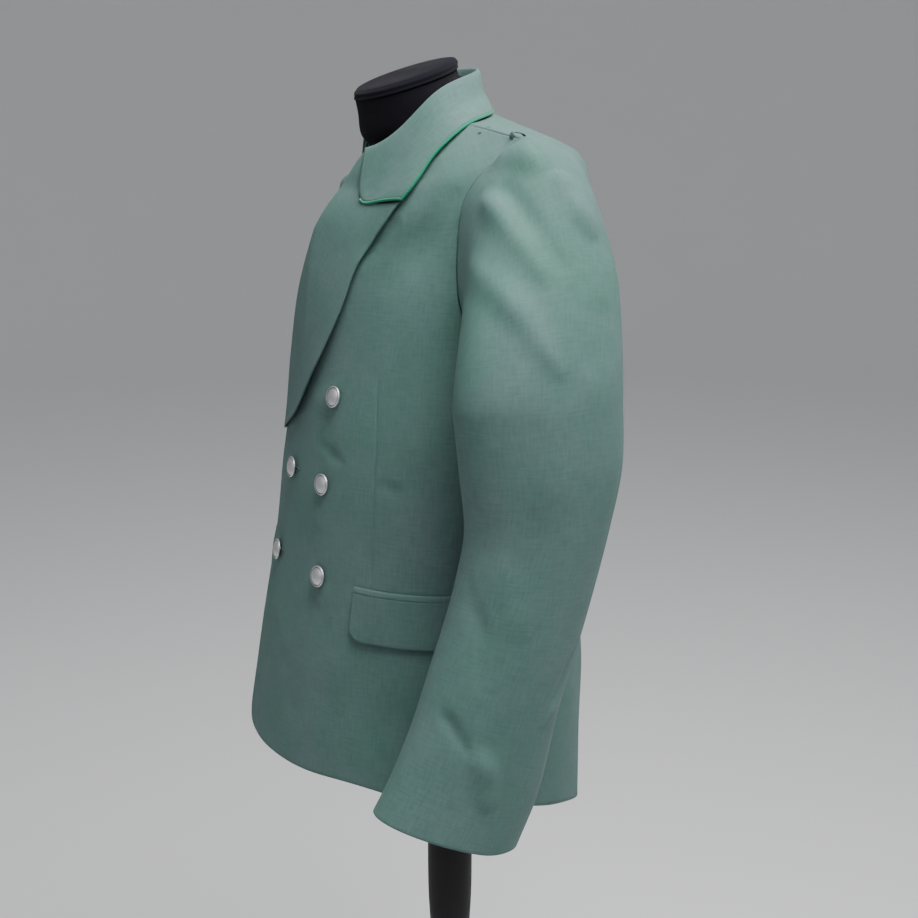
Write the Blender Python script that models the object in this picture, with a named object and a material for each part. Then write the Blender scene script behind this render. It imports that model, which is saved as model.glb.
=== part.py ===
"""A double-breasted military tunic worn by a limbless dress form on a pole stand.

Metres, +Z up.  The origin is the middle of the stand's foot, on the floor.  The tunic
faces -Y and the wearer's left is +X.  The body of the tunic is one smooth surface,
body(turn, row), that every panel, lapel, flap and button is laid on: turn goes once
round from the centre front (0) by the wearer's left (0.25) and the centre back (0.5),
and row counts up the rows of BODY_ROWS from the hem to the neck seam.
"""
import math

import bmesh
import bpy
import numpy as np

CLOTH = 0.0020            # thickness of the cloth and its interlining
SEAM_GAP = 0.00035        # clearance between two pieces at a seam
LAY_GAP = 0.0004          # clearance between a piece and the cloth that it lies on

# Sections of the tunic's body, hem first: side height, half width, reach forwards and
# back from the pole, how much lower the row lies at the centre front and back, how much
# higher between the front and the side, how pointed the front is in plan, and, since the
# coat hangs a little turned, how far the left front swells and the right one falls back.
BODY_ROWS = [
    # height  half   front  back   front_low back_low between point swell  hollow
    (0.768, 0.225, 0.228, 0.131, -0.016, 0.066, 0.018, 0.92, 0.000, 0.000),
    (0.900, 0.215, 0.210, 0.130, 0.000, 0.000, 0.000, 0.88, 0.000, 0.000),
    (1.010, 0.199, 0.190, 0.119, 0.000, 0.000, 0.000, 0.86, 0.000, 0.000),
    (1.090, 0.196, 0.180, 0.122, 0.000, 0.000, 0.000, 0.86, 0.000, 0.000),
    (1.150, 0.200, 0.170, 0.125, 0.000, 0.000, 0.000, 0.92, 0.000, 0.000),
    (1.210, 0.206, 0.157, 0.133, 0.000, 0.000, 0.000, 1.06, 0.008, 0.000),
    (1.280, 0.211, 0.143, 0.137, 0.000, 0.000, 0.000, 1.25, 0.017, 0.003),
    (1.345, 0.214, 0.130, 0.134, 0.010, 0.000, 0.000, 1.50, 0.021, 0.007),
    (1.396, 0.213, 0.124, 0.130, 0.040, 0.000, 0.000, 1.60, 0.022, 0.013),
    (1.427, 0.205, 0.118, 0.120, 0.056, 0.008, 0.000, 1.60, 0.022, 0.020),
    (1.441, 0.184, 0.113, 0.104, 0.061, 0.011, 0.000, 1.40, 0.022, 0.026),
    (1.447, 0.146, 0.109, 0.080, 0.059, 0.005, 0.000, 1.20, 0.021, 0.028),
    (1.453, 0.107, 0.105, 0.050, 0.050, -0.004, 0.000, 1.00, 0.020, 0.024),
    (1.459, 0.074, 0.100, 0.018, 0.040, -0.014, 0.000, 1.00, 0.018, 0.010),
]
HEM_ROW = 0.0
NECK_ROW = len(BODY_ROWS) - 1.0
SWELL_REACH = 0.090       # how far to the wearer's left the swell dies away
HOLLOW_FROM, HOLLOW_TO = 0.095, 0.155   # where the hollow dies away, from the middle
SIDE_TURN = 0.245         # the side and shoulder seams

# The fronts: each laps over the middle to its edge, and folds back along a roll line
# that ends on the neck seam.  The coat hangs a little turned, so the two roll lines
# end at different distances from the middle.
LAP = 0.083               # how far a front reaches past the middle
BREAK_HEIGHT = 1.118      # where the lapel starts to roll
ROLL_TOPS = {1: (0.028, 1.424), -1: (0.0637, 1.440)}
HEM_CORNER = 0.042        # rounding of the front's lower corner

# The armhole, as a squarish oval on the body's surface
ARM_LOW, ARM_HIGH = 5.20, 10.25
ARM_FRONT, ARM_BACK = 0.112, 0.080
ARM_SQUARE = 2.4          # 2 is a plain oval, more is squarer


def curve_through(values, place):
    """A smooth curve (Catmull-Rom) through evenly placed values."""
    values = np.asarray(values, float)
    place = np.clip(np.asarray(place, float), 0.0, len(values) - 1.0)
    first = np.minimum(place.astype(int), len(values) - 2)
    part = place - first
    before = values[np.maximum(first - 1, 0)]
    here, after = values[first], values[first + 1]
    beyond = values[np.minimum(first + 2, len(values) - 1)]
    return 0.5 * (2 * here + (after - before) * part
                  + (2 * before - 5 * here + 4 * after - beyond) * part ** 2
                  + (3 * here - before - 3 * after + beyond) * part ** 3)


def body_plain(turn, row, side=0):
    """The body's surface for arrays of turns and rows, drawn as the wearer's left.

    side is 1 for what lies on the left front, which swells over the right one, -1 for
    what lies on the right front (mirrored when it is made), and 0 for the rest.
    """
    turn, row = np.broadcast_arrays(np.asarray(turn, float), np.asarray(row, float))
    columns = np.array(BODY_ROWS).T
    height, half, front, back, front_low, back_low, higher, point, swell, hollow = (
        curve_through(column, row) for column in columns)
    angle = 2 * math.pi * turn
    across, along = half * np.sin(angle), np.cos(angle)
    middle, depth = (back - front) / 2, (back + front) / 2
    low = np.where(along > 0, front_low * along - higher * np.sin(2 * angle) ** 2,
                   -back_low * along)
    ahead = np.where(along > 0, np.maximum(along, 0) ** point, along)
    y = middle - depth * ahead
    if side > 0:
        fade = np.clip(1 - np.maximum(across, 0) / SWELL_REACH, 0, 1) ** 1.5
        y = y - swell * fade * (along > 0)
    if side < 0:
        fade = np.clip((HOLLOW_TO - np.abs(across)) / (HOLLOW_TO - HOLLOW_FROM), 0, 1)
        y = y + hollow * fade ** 1.5 * np.maximum(along, 0) ** 0.7
    return np.stack([across, y, height - low], axis=-1)


def normals_of(surface, first, second, step=1e-3):
    """Unit normals of surface(first, second), pointing to the side asked by its order."""
    along = surface(first + step, second) - surface(first - step, second)
    up = surface(first, second + step) - surface(first, second - step)
    normal = np.cross(along, up)
    return normal / np.linalg.norm(normal, axis=-1, keepdims=True)


def body(turn, row, out=0.0, side=0):
    """The body's surface moved out by a distance."""
    turn, row = np.broadcast_arrays(np.asarray(turn, float), np.asarray(row, float))
    inside = np.clip(row, 2e-3, NECK_ROW - 2e-3)

    def surface(first, second):
        return body_plain(first, second, side)

    normal = normals_of(surface, turn, inside)
    return surface(turn, row) + normal * np.asarray(out)[..., None]


def turn_at(across, row):
    """The turn, on the front half, where the body is this far to the wearer's left."""
    half = curve_through([line[1] for line in BODY_ROWS], row)
    return np.arcsin(np.clip(across / half, -1, 1)) / (2 * math.pi)


def row_at(height, turn):
    """The row where the body reaches this height at this turn."""
    rows = np.linspace(HEM_ROW, NECK_ROW, 400)
    heights = np.maximum.accumulate(body_plain(np.full_like(rows, turn), rows)[:, 2])
    return float(np.interp(height, heights, rows))


def roll_across(height, side=1):
    """How far to its own side a front's roll line lies from the middle at a height."""
    across, top = ROLL_TOPS[side]
    part = (height - BREAK_HEIGHT) / (top - BREAK_HEIGHT)
    return -LAP + (across + LAP) * np.clip(part, 0, 1)


def front_edge_turn(row, side):
    """The turn of a front's edge: straight below the break, then the roll line."""
    turn = -0.06
    for _ in range(12):
        height = body_plain(turn, row)[2]
        turn = float(turn_at(roll_across(height, side), row))
    return turn


def armhole_half(row, width):
    """Half the armhole's width, in turns, at a row."""
    middle, reach = (ARM_LOW + ARM_HIGH) / 2, (ARM_HIGH - ARM_LOW) / 2
    share = np.clip((row - middle) / reach, -1, 1)
    return width * (1 - abs(share) ** ARM_SQUARE) ** (1 / ARM_SQUARE)


def material(name, colour, rough, metallic=0.0):
    made = bpy.data.materials.new(name)
    made.use_nodes = True
    shader = made.node_tree.nodes["Principled BSDF"]
    shader.inputs["Base Color"].default_value = (*colour, 1.0)
    shader.inputs["Roughness"].default_value = rough
    shader.inputs["Metallic"].default_value = metallic
    return made


# How the turned coat settles at its shoulders and side: each line fades in from the first
# to the second place along each axis, and moves the cloth and form back and up.
SETTLING = [
    # x_from x_to   y_from y_to   z_from z_to   back    up
    (-0.050, -0.170, 0.500, 0.400, 1.230, 1.400, 0.020, 0.000),
    (0.080, 0.160, -0.040, 0.050, 1.300, 1.400, -0.010, -0.005),
    (0.120, 0.200, -0.120, -0.040, 0.850, 0.770, 0.000, 0.011),
    (0.120, 0.020, -0.090, -0.160, 0.860, 0.780, 0.000, 0.006),
]
CLEAR_OF_STAND = 0.65


def settled(points):
    """Points moved by the settling of the coat."""
    points = np.array(points, float)
    moved = np.zeros_like(points)
    for line in SETTLING:
        share = points[..., 2] > CLEAR_OF_STAND
        for axis in range(3):
            first, last = line[2 * axis:2 * axis + 2]
            part = np.clip((points[..., axis] - first) / (last - first), 0, 1)
            share = share * part * part * (3 - 2 * part)
        moved[..., 1] += share * line[6]
        moved[..., 2] += share * line[7]
    return points + moved


def add_mesh(name, points, faces, finish):
    """One closed solid, with its faces turned outwards."""
    mesh = bpy.data.meshes.new(name)
    mesh.from_pydata([tuple(point) for point in settled(points)], [], faces)
    work = bmesh.new()
    work.from_mesh(mesh)
    bmesh.ops.recalc_face_normals(work, faces=work.faces)
    work.to_mesh(mesh)
    work.free()
    mesh.shade_smooth()
    mesh.set_sharp_from_angle(angle=math.radians(35))
    mesh.materials.append(finish)
    thing = bpy.data.objects.new(name, mesh)
    bpy.context.scene.collection.objects.link(thing)
    return thing


def wall(name, outer, inner, finish):
    """A sheet with thickness, between two grids of points."""
    rows, columns = outer.shape[:2]
    points = np.concatenate([outer.reshape(-1, 3), inner.reshape(-1, 3)])
    back = rows * columns
    faces = []

    def at(i, j):
        return i * columns + j

    for i in range(rows - 1):
        for j in range(columns - 1):
            a, b, c, d = at(i, j), at(i, j + 1), at(i + 1, j + 1), at(i + 1, j)
            faces.append((a, b, c, d))
            faces.append((a + back, d + back, c + back, b + back))
        for j, flip in ((0, False), (columns - 1, True)):
            side = (at(i, j), at(i + 1, j), at(i + 1, j) + back, at(i, j) + back)
            faces.append(side[::-1] if flip else side)
    for j in range(columns - 1):
        for i, flip in ((0, True), (rows - 1, False)):
            side = (at(i, j), at(i, j + 1), at(i, j + 1) + back, at(i, j) + back)
            faces.append(side[::-1] if flip else side)
    return add_mesh(name, points, faces, finish)


def loft(name, rings, finish):
    """A solid skinned over closed rings of points, with flat ends."""
    rings = np.asarray(rings)
    count = rings.shape[1]
    faces = []
    for i in range(len(rings) - 1):
        for j in range(count):
            k = (j + 1) % count
            faces.append((i * count + j, i * count + k,
                          (i + 1) * count + k, (i + 1) * count + j))
    faces.append(tuple(range(count))[::-1])
    faces.append(tuple((len(rings) - 1) * count + j for j in range(count)))
    return add_mesh(name, rings.reshape(-1, 3), faces, finish)


def panel_rows():
    """Rows for the panels: even up to the armhole, close at its ends, even to the neck."""
    middle, reach = (ARM_LOW + ARM_HIGH) / 2, (ARM_HIGH - ARM_LOW) / 2
    below = list(np.linspace(HEM_ROW, ARM_LOW, 9)[:-1])
    beside = [middle - reach * math.cos(math.pi * step / 11) for step in range(12)]
    above = [10.8, 11.3, 11.7, 12.05, 12.4, 12.7, NECK_ROW]
    return below + beside + above


def panel(name, starts, ends, finish, side=1, columns=12, dip=None, corner=0.0):
    """A panel of the body between two lists of turns, one pair for each row.

    side is 1 for the wearer's left and -1 for the right; dip gives how far the panel
    lies under its neighbour at a distance to the left; corner rounds its lower corner.
    """
    rows = np.array(panel_rows())
    share = np.linspace(0, 1, columns)
    grid_row = np.repeat(rows[:, None], columns, axis=1)
    starts, ends = np.array(starts)[:, None], np.array(ends)[:, None]
    turns = starts + (ends - starts) * share
    length = np.linalg.norm(body_plain(ends, rows[:, None])
                            - body_plain(starts, rows[:, None]), axis=-1)
    margin = SEAM_GAP / np.maximum(length, 0.02) * (ends - starts)
    turns = np.clip(turns, starts + margin, ends - margin)
    if corner:
        distance = np.abs(body_plain(turns[0], rows[0])[:, 0]
                          - body_plain(turns[0, 0], rows[0])[0])
        lift = corner - np.sqrt(np.clip(corner ** 2 - np.clip(corner - distance, 0, corner) ** 2,
                                        0, None))
        drop = rows[1] - rows[0]
        step = body_plain(turns[0], rows[1])[:, 2] - body_plain(turns[0], rows[0])[:, 2]
        grid_row[0] = rows[0] + np.clip(lift / step, 0, 0.8) * drop
    sink = np.zeros_like(turns)
    if dip:
        sink = dip(body_plain(turns, grid_row)[..., 0])
    outer = body(turns, grid_row, -sink, side)
    inner = body(turns, grid_row, -sink - CLOTH, side)
    mirror = np.array([side, 1, 1])
    return wall(name, outer * mirror, inner * mirror, finish)


def under_lap(across):
    """How far the right front (drawn as a left one) lies under the other front."""
    share = np.clip((0.110 - across) / 0.022, 0, 1)
    return (CLOTH + LAY_GAP + 0.0007) * share * share * (3 - 2 * share)


def fronts_and_backs(cloth):
    rows = panel_rows()
    side_front = [SIDE_TURN - armhole_half(row, ARM_FRONT) for row in rows]
    side_back = [SIDE_TURN + armhole_half(row, ARM_BACK) for row in rows]
    middle = [0.5] * len(rows)
    for side, word, dip in ((1, "left", None), (-1, "right", under_lap)):
        edge = [front_edge_turn(row, side) for row in rows]
        panel(f"front_{word}", edge, side_front, cloth, side, 16, dip, HEM_CORNER)
        panel(f"back_{word}", side_back, middle, cloth, side, 9)


# The lapel's outer edge, from where it starts to roll up to its peak: distance to the
# front's own side, height, and how far it stands off the chest.
LAPEL_EDGE = [
    # across  height lift
    (-0.072, 1.124, 0.0010),
    (-0.008, 1.156, 0.0060),
    (0.030, 1.208, 0.0080),
    (0.054, 1.266, 0.0055),
    (0.066, 1.322, 0.0032),
    (0.096, 1.379, 0.0018),
]
GORGE_NOTCHES = {1: (0.043, 1.370), -1: (0.080, 1.384)}   # where the collar's end leaves
RIGHT_SHIFT = 0.022       # how much farther out the right lapel's peak lies
LAPEL_LIFT = 0.0032       # how far the roll stands off the chest
GORGE_PIPING = 0.0036     # room for the piping between the lapel's top and the collar
LAPEL_CLEAR = 0.0030      # room between the right lapel and the left one's roll


def front_point(across, height, out, side=1):
    """A point over a front, by its distance to its own side and its height."""
    turn = 0.05
    for _ in range(10):
        row = row_at(height, turn)
        turn = float(turn_at(across, row))
    return body(turn, row, out, side)


def between(ends, part):
    return [a + (b - a) * part for a, b in zip(*ends)]


def lapel_edge(up, side):
    """A point of the lapel's outer edge: up is 0 at its foot and 1 at its peak."""
    place = up * (len(LAPEL_EDGE) - 1)
    across, height, lift = (float(curve_through([line[k] for line in LAPEL_EDGE], place))
                            for k in range(3))
    return [across + (RIGHT_SHIFT * up if side < 0 else 0.0), height, lift]


def gorge_point(share, side):
    """The seam where the lapel meets the collar, from the roll line to the peak."""
    notch = 0.45
    if share < notch:
        return between((ROLL_TOPS[side], GORGE_NOTCHES[side]), share / notch)
    return between((GORGE_NOTCHES[side], lapel_edge(1.0, side)[:2]),
                   (share - notch) / (1 - notch))


def lapels(cloth):
    """Each lapel is the top of its front turned back over the chest along the roll."""
    up_count, across_count = 10, 8
    for word, side, first in (("left", 1, 0.0), ("right", -1, 0.36)):
        top = ROLL_TOPS[side][1] - 0.004
        outer, inner = [], []
        for i in range(up_count):
            up = first + (1 - first) * i / (up_count - 1)
            height = BREAK_HEIGHT + 0.004 + (top - BREAK_HEIGHT - 0.004) * up
            *rim, stand_off = lapel_edge(up, side)
            ends = (float(roll_across(height, side)), height), rim
            pull = max(0.0, (up - 0.72) / 0.28) ** 2
            row_out, row_in = [], []
            for j in range(across_count):
                share = j / (across_count - 1)
                spot = between((between(ends, share), gorge_point(share, side)), pull)
                across = spot[0]
                level = spot[1] - 0.0012 - GORGE_PIPING * pull * min(1.0, share / 0.4)
                if side < 0:
                    across = max(across, LAPEL_CLEAR - float(roll_across(level)))
                rolled = LAPEL_LIFT * (1 - share) ** 2 * math.sin(math.pi * (0.1 + 0.8 * up))
                lift = LAY_GAP + rolled + stand_off * share ** 2
                if side < 0:
                    lift -= 0.8 * float(under_lap(across))
                row_in.append(front_point(across, level, lift, side))
                row_out.append(front_point(across, level, lift + CLOTH, side))
            outer.append(row_out)
            inner.append(row_in)
        mirror = np.array([side, 1, 1])
        wall(f"lapel_{word}", np.array(outer) * mirror, np.array(inner) * mirror, cloth)


# Sections of the collar, from its end at the gorge to the centre back: the turn on the
# neck seam, the height of the roll over the seam and how far out it leans, then where
# the middle and the edge of the fall lie over the body.
COLLAR_BACK = [
    # turn stand  out    mid_turn mid_row mid_lift edge_turn edge_row
    (0.340, 0.030, 0.005, 0.335, 12.65, 0.016, 0.325, 12.22),
    (0.420, 0.031, 0.006, 0.420, 12.78, 0.017, 0.420, 12.42),
    (0.500, 0.031, 0.006, 0.500, 12.82, 0.017, 0.500, 12.50),
]
COLLAR_FRONTS = {
    1: [
        (0.070, 0.005, 0.004, 0.036, 9.12, 0.003, 0.081, 9.25),
        (0.100, 0.012, 0.004, 0.089, 11.60, 0.005, 0.101, 10.20),
        (0.150, 0.018, 0.004, 0.150, 12.15, 0.010, 0.149, 11.35),
        (0.200, 0.026, 0.004, 0.200, 12.35, 0.013, 0.192, 11.70),
        (0.260, 0.029, 0.005, 0.250, 12.48, 0.015, 0.242, 11.93),
    ],
    -1: [
        (0.168, 0.005, 0.002, 0.088, 10.30, 0.003, 0.112, 9.30),
        (0.185, 0.014, 0.002, 0.140, 11.80, 0.004, 0.134, 10.30),
        (0.205, 0.022, 0.003, 0.180, 12.15, 0.008, 0.166, 11.35),
        (0.235, 0.027, 0.004, 0.222, 12.35, 0.012, 0.210, 11.70),
        (0.280, 0.029, 0.005, 0.268, 12.48, 0.015, 0.258, 11.93),
    ],
}
COLLAR_FOOT = 0.0016      # how far over the neck seam the stand starts
FALL_LIFT = 0.0042        # how far the fall's edge stands off the shoulders


def collar_section(place, side):
    """Centre line of the collar's cloth at one place: foot, stand, roll, fall, edge."""
    lines = COLLAR_FRONTS[side] + COLLAR_BACK
    (turn, stand, lean, mid_turn, mid_row, mid_lift, edge_turn, edge_row) = (
        float(curve_through([line[k] for line in lines], place)) for k in range(8))
    seam = body(turn, NECK_ROW, 0.0, side)
    away = body(turn, NECK_ROW, 1.0, side) - seam
    away[2] = 0
    away /= np.linalg.norm(away)
    up = np.array([0.0, 0.0, 1.0])
    foot = seam + up * COLLAR_FOOT
    top = seam + up * (stand + COLLAR_FOOT) + away * lean
    middle = body(mid_turn, mid_row, mid_lift, side)
    edge = body(edge_turn, edge_row, FALL_LIFT, side)
    crest = top + up * 0.0016 + away * 0.0020
    shoulder = top * 0.72 + middle * 0.28 + away * 0.0024 + up * 0.0012
    low = middle * 0.5 + edge * 0.5 + up * 0.0012
    return np.array([foot, foot * 0.5 + top * 0.5, top, crest, shoulder, middle, low, edge])


def collar(cloth, piping):
    """The turned-down collar and the cord of bright cloth let into its edge."""
    count = 15
    last = len(COLLAR_BACK) + len(COLLAR_FRONTS[1]) - 1
    sections = [collar_section(place, 1) for place in np.linspace(0, last, count)]
    sections += [collar_section(place, -1) * [-1, 1, 1]
                 for place in np.linspace(last, 0, count)[1:]]
    sections = np.array(sections)
    along = np.gradient(sections, axis=0)
    down = np.gradient(sections, axis=1)
    normal = np.cross(along, down)
    normal /= np.linalg.norm(normal, axis=2, keepdims=True)
    wall("collar", sections - normal * CLOTH / 2, sections + normal * CLOTH / 2, cloth)
    rim = along[:, -1] / np.linalg.norm(along[:, -1], axis=1, keepdims=True)
    fall = down[:, -1] - rim * np.sum(down[:, -1] * rim, axis=1, keepdims=True)
    fall /= np.linalg.norm(fall, axis=1, keepdims=True)
    clear = PIPING / 2 + LAY_GAP + 0.0005
    edge = sections[:, -1] + fall * clear
    ends = []
    for k, ahead in ((0, -1), (-1, 1)):
        line = down[k] / np.linalg.norm(down[k], axis=1, keepdims=True)
        heading = ahead * along[k]
        heading -= line * np.sum(heading * line, axis=1, keepdims=True)
        heading /= np.linalg.norm(heading, axis=1, keepdims=True)
        end = (sections[k] + heading * clear * 1.15)[5:]
        end[-1] += fall[k] * clear
        ends.append(end)
    path = np.concatenate([ends[0], edge[1:-1], ends[1][::-1]])
    tube("collar_piping", path, PIPING / 2, 6, piping)


PIPING = 0.0030


def tube(name, path, radius, sides, finish):
    """A round cord along a list of points."""
    path = np.asarray(path)
    heading = np.gradient(path, axis=0)
    heading /= np.linalg.norm(heading, axis=1, keepdims=True)
    rings = []
    for point, ahead in zip(path, heading):
        across = np.cross(ahead, [0.0, 0.0, 1.0])
        across /= np.linalg.norm(across)
        over = np.cross(across, ahead)
        rings.append([point + radius * (across * math.cos(2 * math.pi * k / sides)
                                        + over * math.sin(2 * math.pi * k / sides))
                      for k in range(sides)])
    return loft(name, rings, finish)


# The left sleeve below its cap: height, middle, half thickness, half width, how much
# higher its front lies than its middle, and how much farther back the right one hangs.
SLEEVE_ROWS = [
    # height  middle_x middle_y thick  wide   front_up back
    (1.200, 0.265, -0.034, 0.050, 0.086, 0.000, 0.044),
    (1.137, 0.265, -0.030, 0.050, 0.083, 0.000, 0.040),
    (1.080, 0.264, -0.033, 0.048, 0.074, 0.003, 0.036),
    (1.030, 0.264, -0.0445, 0.046, 0.0705, 0.010, 0.041),
    (0.980, 0.265, -0.060, 0.045, 0.068, 0.018, 0.050),
    (0.925, 0.267, -0.080, 0.044, 0.067, 0.024, 0.062),
    (0.875, 0.269, -0.096, 0.043, 0.069, 0.028, 0.072),
    (0.825, 0.271, -0.115, 0.043, 0.073, 0.031, 0.083),
    (0.790, 0.272, -0.134, 0.044, 0.0735, 0.033, 0.092),
]
CAP_ROWS = 6              # rows of points over the sleeve's cap
CAP_BULGE = 0.75          # fullness of the cap
# The sleeve's largest soft folds: the two ends (angle in degrees, place), the width in
# degrees and in places, and the height (negative for a trough).
SLEEVE_FOLDS = [
    (-8, 0.30, -30, 0.62, 16, 0.16, -0.0035),
    (20, 0.45, 26, 1.00, 13, 0.50, -0.0020),
    (78, 6.9, 20, 8.1, 18, 0.40, -0.0030),
    (-88, 5.9, -40, 6.6, 16, 0.35, -0.0030),
    (100, 3.4, 55, 3.9, 18, 0.40, -0.0025),
]


def armhole_point(angle, shrink, out):
    """A point on the armhole: angle 0 at the shoulder and a quarter turn at its front."""
    middle, reach = (ARM_LOW + ARM_HIGH) / 2, (ARM_HIGH - ARM_LOW) / 2
    width = np.where(np.sin(angle) > 0, ARM_FRONT, ARM_BACK)
    power = 2 / ARM_SQUARE
    aside, upward = (np.sign(wave) * np.abs(wave) ** power
                     for wave in (np.sin(angle), np.cos(angle)))
    return body(SIDE_TURN - width * shrink * aside, middle + reach * shrink * upward, out)


def sleeve_plain(angle, place, side=1):
    """The sleeve's surface: place 0 to 1 is the cap, then it counts the rows."""
    angle, place = np.broadcast_arrays(np.asarray(angle, float), np.asarray(place, float))
    below = np.maximum(place - 1, 0)
    height, mid_x, mid_y, thick, wide, front_up, farther = (
        curve_through([line[k] for line in SLEEVE_ROWS], below) for k in range(7))
    if side < 0:
        mid_y = mid_y + farther
    x = mid_x + thick * np.cos(angle)
    y = mid_y - wide * np.sin(angle)
    z = height + front_up * np.sin(angle)
    lower = np.stack([x, y, z], axis=-1)
    start = armhole_point(angle, 0.985, 0.0)
    part = np.clip(place, 0, 1)[..., None]
    length = np.linalg.norm(lower - start, axis=-1, keepdims=True) * CAP_BULGE
    leave = np.array([1.0, 0.0, 0.10]) * length
    arrive = np.array([0.0, 0.0, -1.0]) * length
    cap = ((2 * part ** 3 - 3 * part ** 2 + 1) * start + (part ** 3 - 2 * part ** 2 + part) * leave
           + (3 * part ** 2 - 2 * part ** 3) * lower + (part ** 3 - part ** 2) * arrive)
    return np.where(place[..., None] < 1, cap, lower)


def sleeve_fold(angle, place):
    """How far the folds lift the sleeve's cloth at each angle and place."""
    total = np.zeros(np.broadcast(angle, place).shape)
    for first, low, last, high, wide, tall, height in SLEEVE_FOLDS:
        x = (np.degrees(angle) - first) / wide
        y = (place - low) / tall
        run_x, run_y = (last - first) / wide, (high - low) / tall
        along = np.clip((x * run_x + y * run_y) / (run_x ** 2 + run_y ** 2), 0, 1)
        away = (x - along * run_x) ** 2 + (y - along * run_y) ** 2
        total += height * np.exp(-away)
    return total


def sleeve(angle, place, out, side=1):
    """A sleeve's surface (drawn as the left) with its folds, moved out by a distance."""
    step = 2e-3
    last = len(SLEEVE_ROWS)
    inside = np.clip(place, step, last - step)

    def surface(first, second):
        return sleeve_plain(first, second, side)

    normal = -normals_of(surface, angle, inside, step)
    out = np.asarray(out) + sleeve_fold(angle, place)
    return surface(angle, place) - normal * out[..., None]


def sleeves(cloth):
    """Each sleeve is a top piece and an under piece, seamed at its front and back."""
    places = list(np.linspace(0, 1, CAP_ROWS + 1)[:-1]) + [1, 2, 3, 4, 5, 6, 7, 8, 9]
    top_span = (math.radians(-118), math.radians(122))
    seam = 0.0035
    for word, span, count in (("top", top_span, 14),
                              ("under", (top_span[1], top_span[0] + 2 * math.pi), 8)):
        angles = np.linspace(span[0] + seam, span[1] - seam, count)
        place, angle = np.meshgrid(places, angles, indexing="ij")
        for side, which in ((1, "left"), (-1, "right")):
            mirror = np.array([side, 1, 1])
            outer = sleeve(angle, place, 0.0, side) * mirror
            inner = sleeve(angle, place, -CLOTH, side) * mirror
            wall(f"sleeve_{which}_{word}", outer, inner, cloth)


# The pocket: a welt over a flap, on the side of each front
POCKET_START, POCKET_END = 0.104, 0.236
POCKET_TOP = 0.997
WELT_HIGH = 0.0055
FLAP_HIGH = 0.047
FLAP_CORNER = 0.014
FLAP_CLOTH = 0.0024


def pockets(cloth):
    """A flap with rounded lower corners that hangs from under a narrow welt."""
    turns = np.linspace(POCKET_START, POCKET_END, 9)
    line = body_plain(turns, row_at(POCKET_TOP, POCKET_START))
    run = np.concatenate([[0], np.cumsum(np.linalg.norm(np.diff(line, axis=0), axis=1))])
    pieces = (
        # name        top                                 high       rows thick       corner
        ("pocket_welt", POCKET_TOP, WELT_HIGH, 2, 0.0016, 0.0),
        ("pocket_flap", POCKET_TOP - WELT_HIGH - SEAM_GAP, FLAP_HIGH, 6, FLAP_CLOTH,
         FLAP_CORNER),
    )
    for name, top, high, rows, thick, corner in pieces:
        outer, inner = [], []
        for share in np.linspace(0, 1, rows):
            row_out, row_in = [], []
            for turn, here in zip(turns, run):
                inset = max(0.0, corner - min(here, run[-1] - here))
                cut = corner - math.sqrt(max(0.0, corner ** 2 - inset ** 2))
                row = row_at(top - share * (high - cut), turn)
                lift = 2 * LAY_GAP + 0.0010 * share
                row_in.append(body(turn, row, lift))
                row_out.append(body(turn, row, lift + thick))
            outer.append(row_out)
            inner.append(row_in)
        for side, word in ((1, "left"), (-1, "right")):
            mirror = np.array([side, 1, 1])
            wall(f"{name}_{word}", np.array(outer) * mirror, np.array(inner) * mirror, cloth)


# Buttons: three to the left and two to the right of the fronts' overlap.  The turned
# coat carries both columns to the wearer's left.
BUTTON_SPOTS = [
    # across height
    (0.062, 1.181),
    (0.063, 1.091),
    (-0.009, 1.094),
    (0.0725, 0.996),
    (-0.032, 0.997),
]
BUTTON_PROFILE = [
    # radius  height over the cloth
    (0.0040, 0.0000),
    (0.0040, 0.0018),
    (0.0104, 0.0024),
    (0.0112, 0.0034),
    (0.0104, 0.0046),
    (0.0092, 0.0042),
    (0.0055, 0.0064),
    (0.0015, 0.0072),
]


def buttons(metal):
    """Domed buttons with a raised rim, each sewn on by a short shank."""
    sides = 16
    for number, (across, height) in enumerate(BUTTON_SPOTS, start=1):
        seat = front_point(across, height, LAY_GAP)
        out = front_point(across, height, 1.0) - front_point(across, height, 0.0)
        over = np.cross(out, [1.0, 0.0, 0.0])
        over /= np.linalg.norm(over)
        along = np.cross(over, out)
        rings = []
        for radius, rise in BUTTON_PROFILE:
            rings.append([seat + out * rise
                          + radius * (along * math.cos(2 * math.pi * k / sides)
                                      + over * math.sin(2 * math.pi * k / sides))
                          for k in range(sides)])
        loft(f"button_{number}", rings, metal)


# The loop near the shoulder's end, that a shoulder strap slips under
LOOP_ROW, LOOP_TURN, LOOP_LONG, LOOP_HIGH = 10.45, 0.257, 0.0165, 0.0022


def strap_loops(cloth):
    for side, word in ((1, "left"), (-1, "right")):
        mirror = np.array([side, 1, 1])
        turns = LOOP_TURN + np.linspace(-LOOP_LONG, LOOP_LONG, 7)
        rows = np.array([LOOP_ROW - 0.05, LOOP_ROW + 0.05])
        row, turn = np.meshgrid(rows, turns, indexing="ij")
        share = np.abs(np.linspace(-1, 1, 7))
        lift = LAY_GAP + LOOP_HIGH * (1 - share ** 4) + 0.0 * row
        outer = body(turn, row, lift + 0.0016)
        inner = body(turn, row, lift)
        wall(f"strap_loop_{word}", outer * mirror, inner * mirror, cloth)


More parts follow.
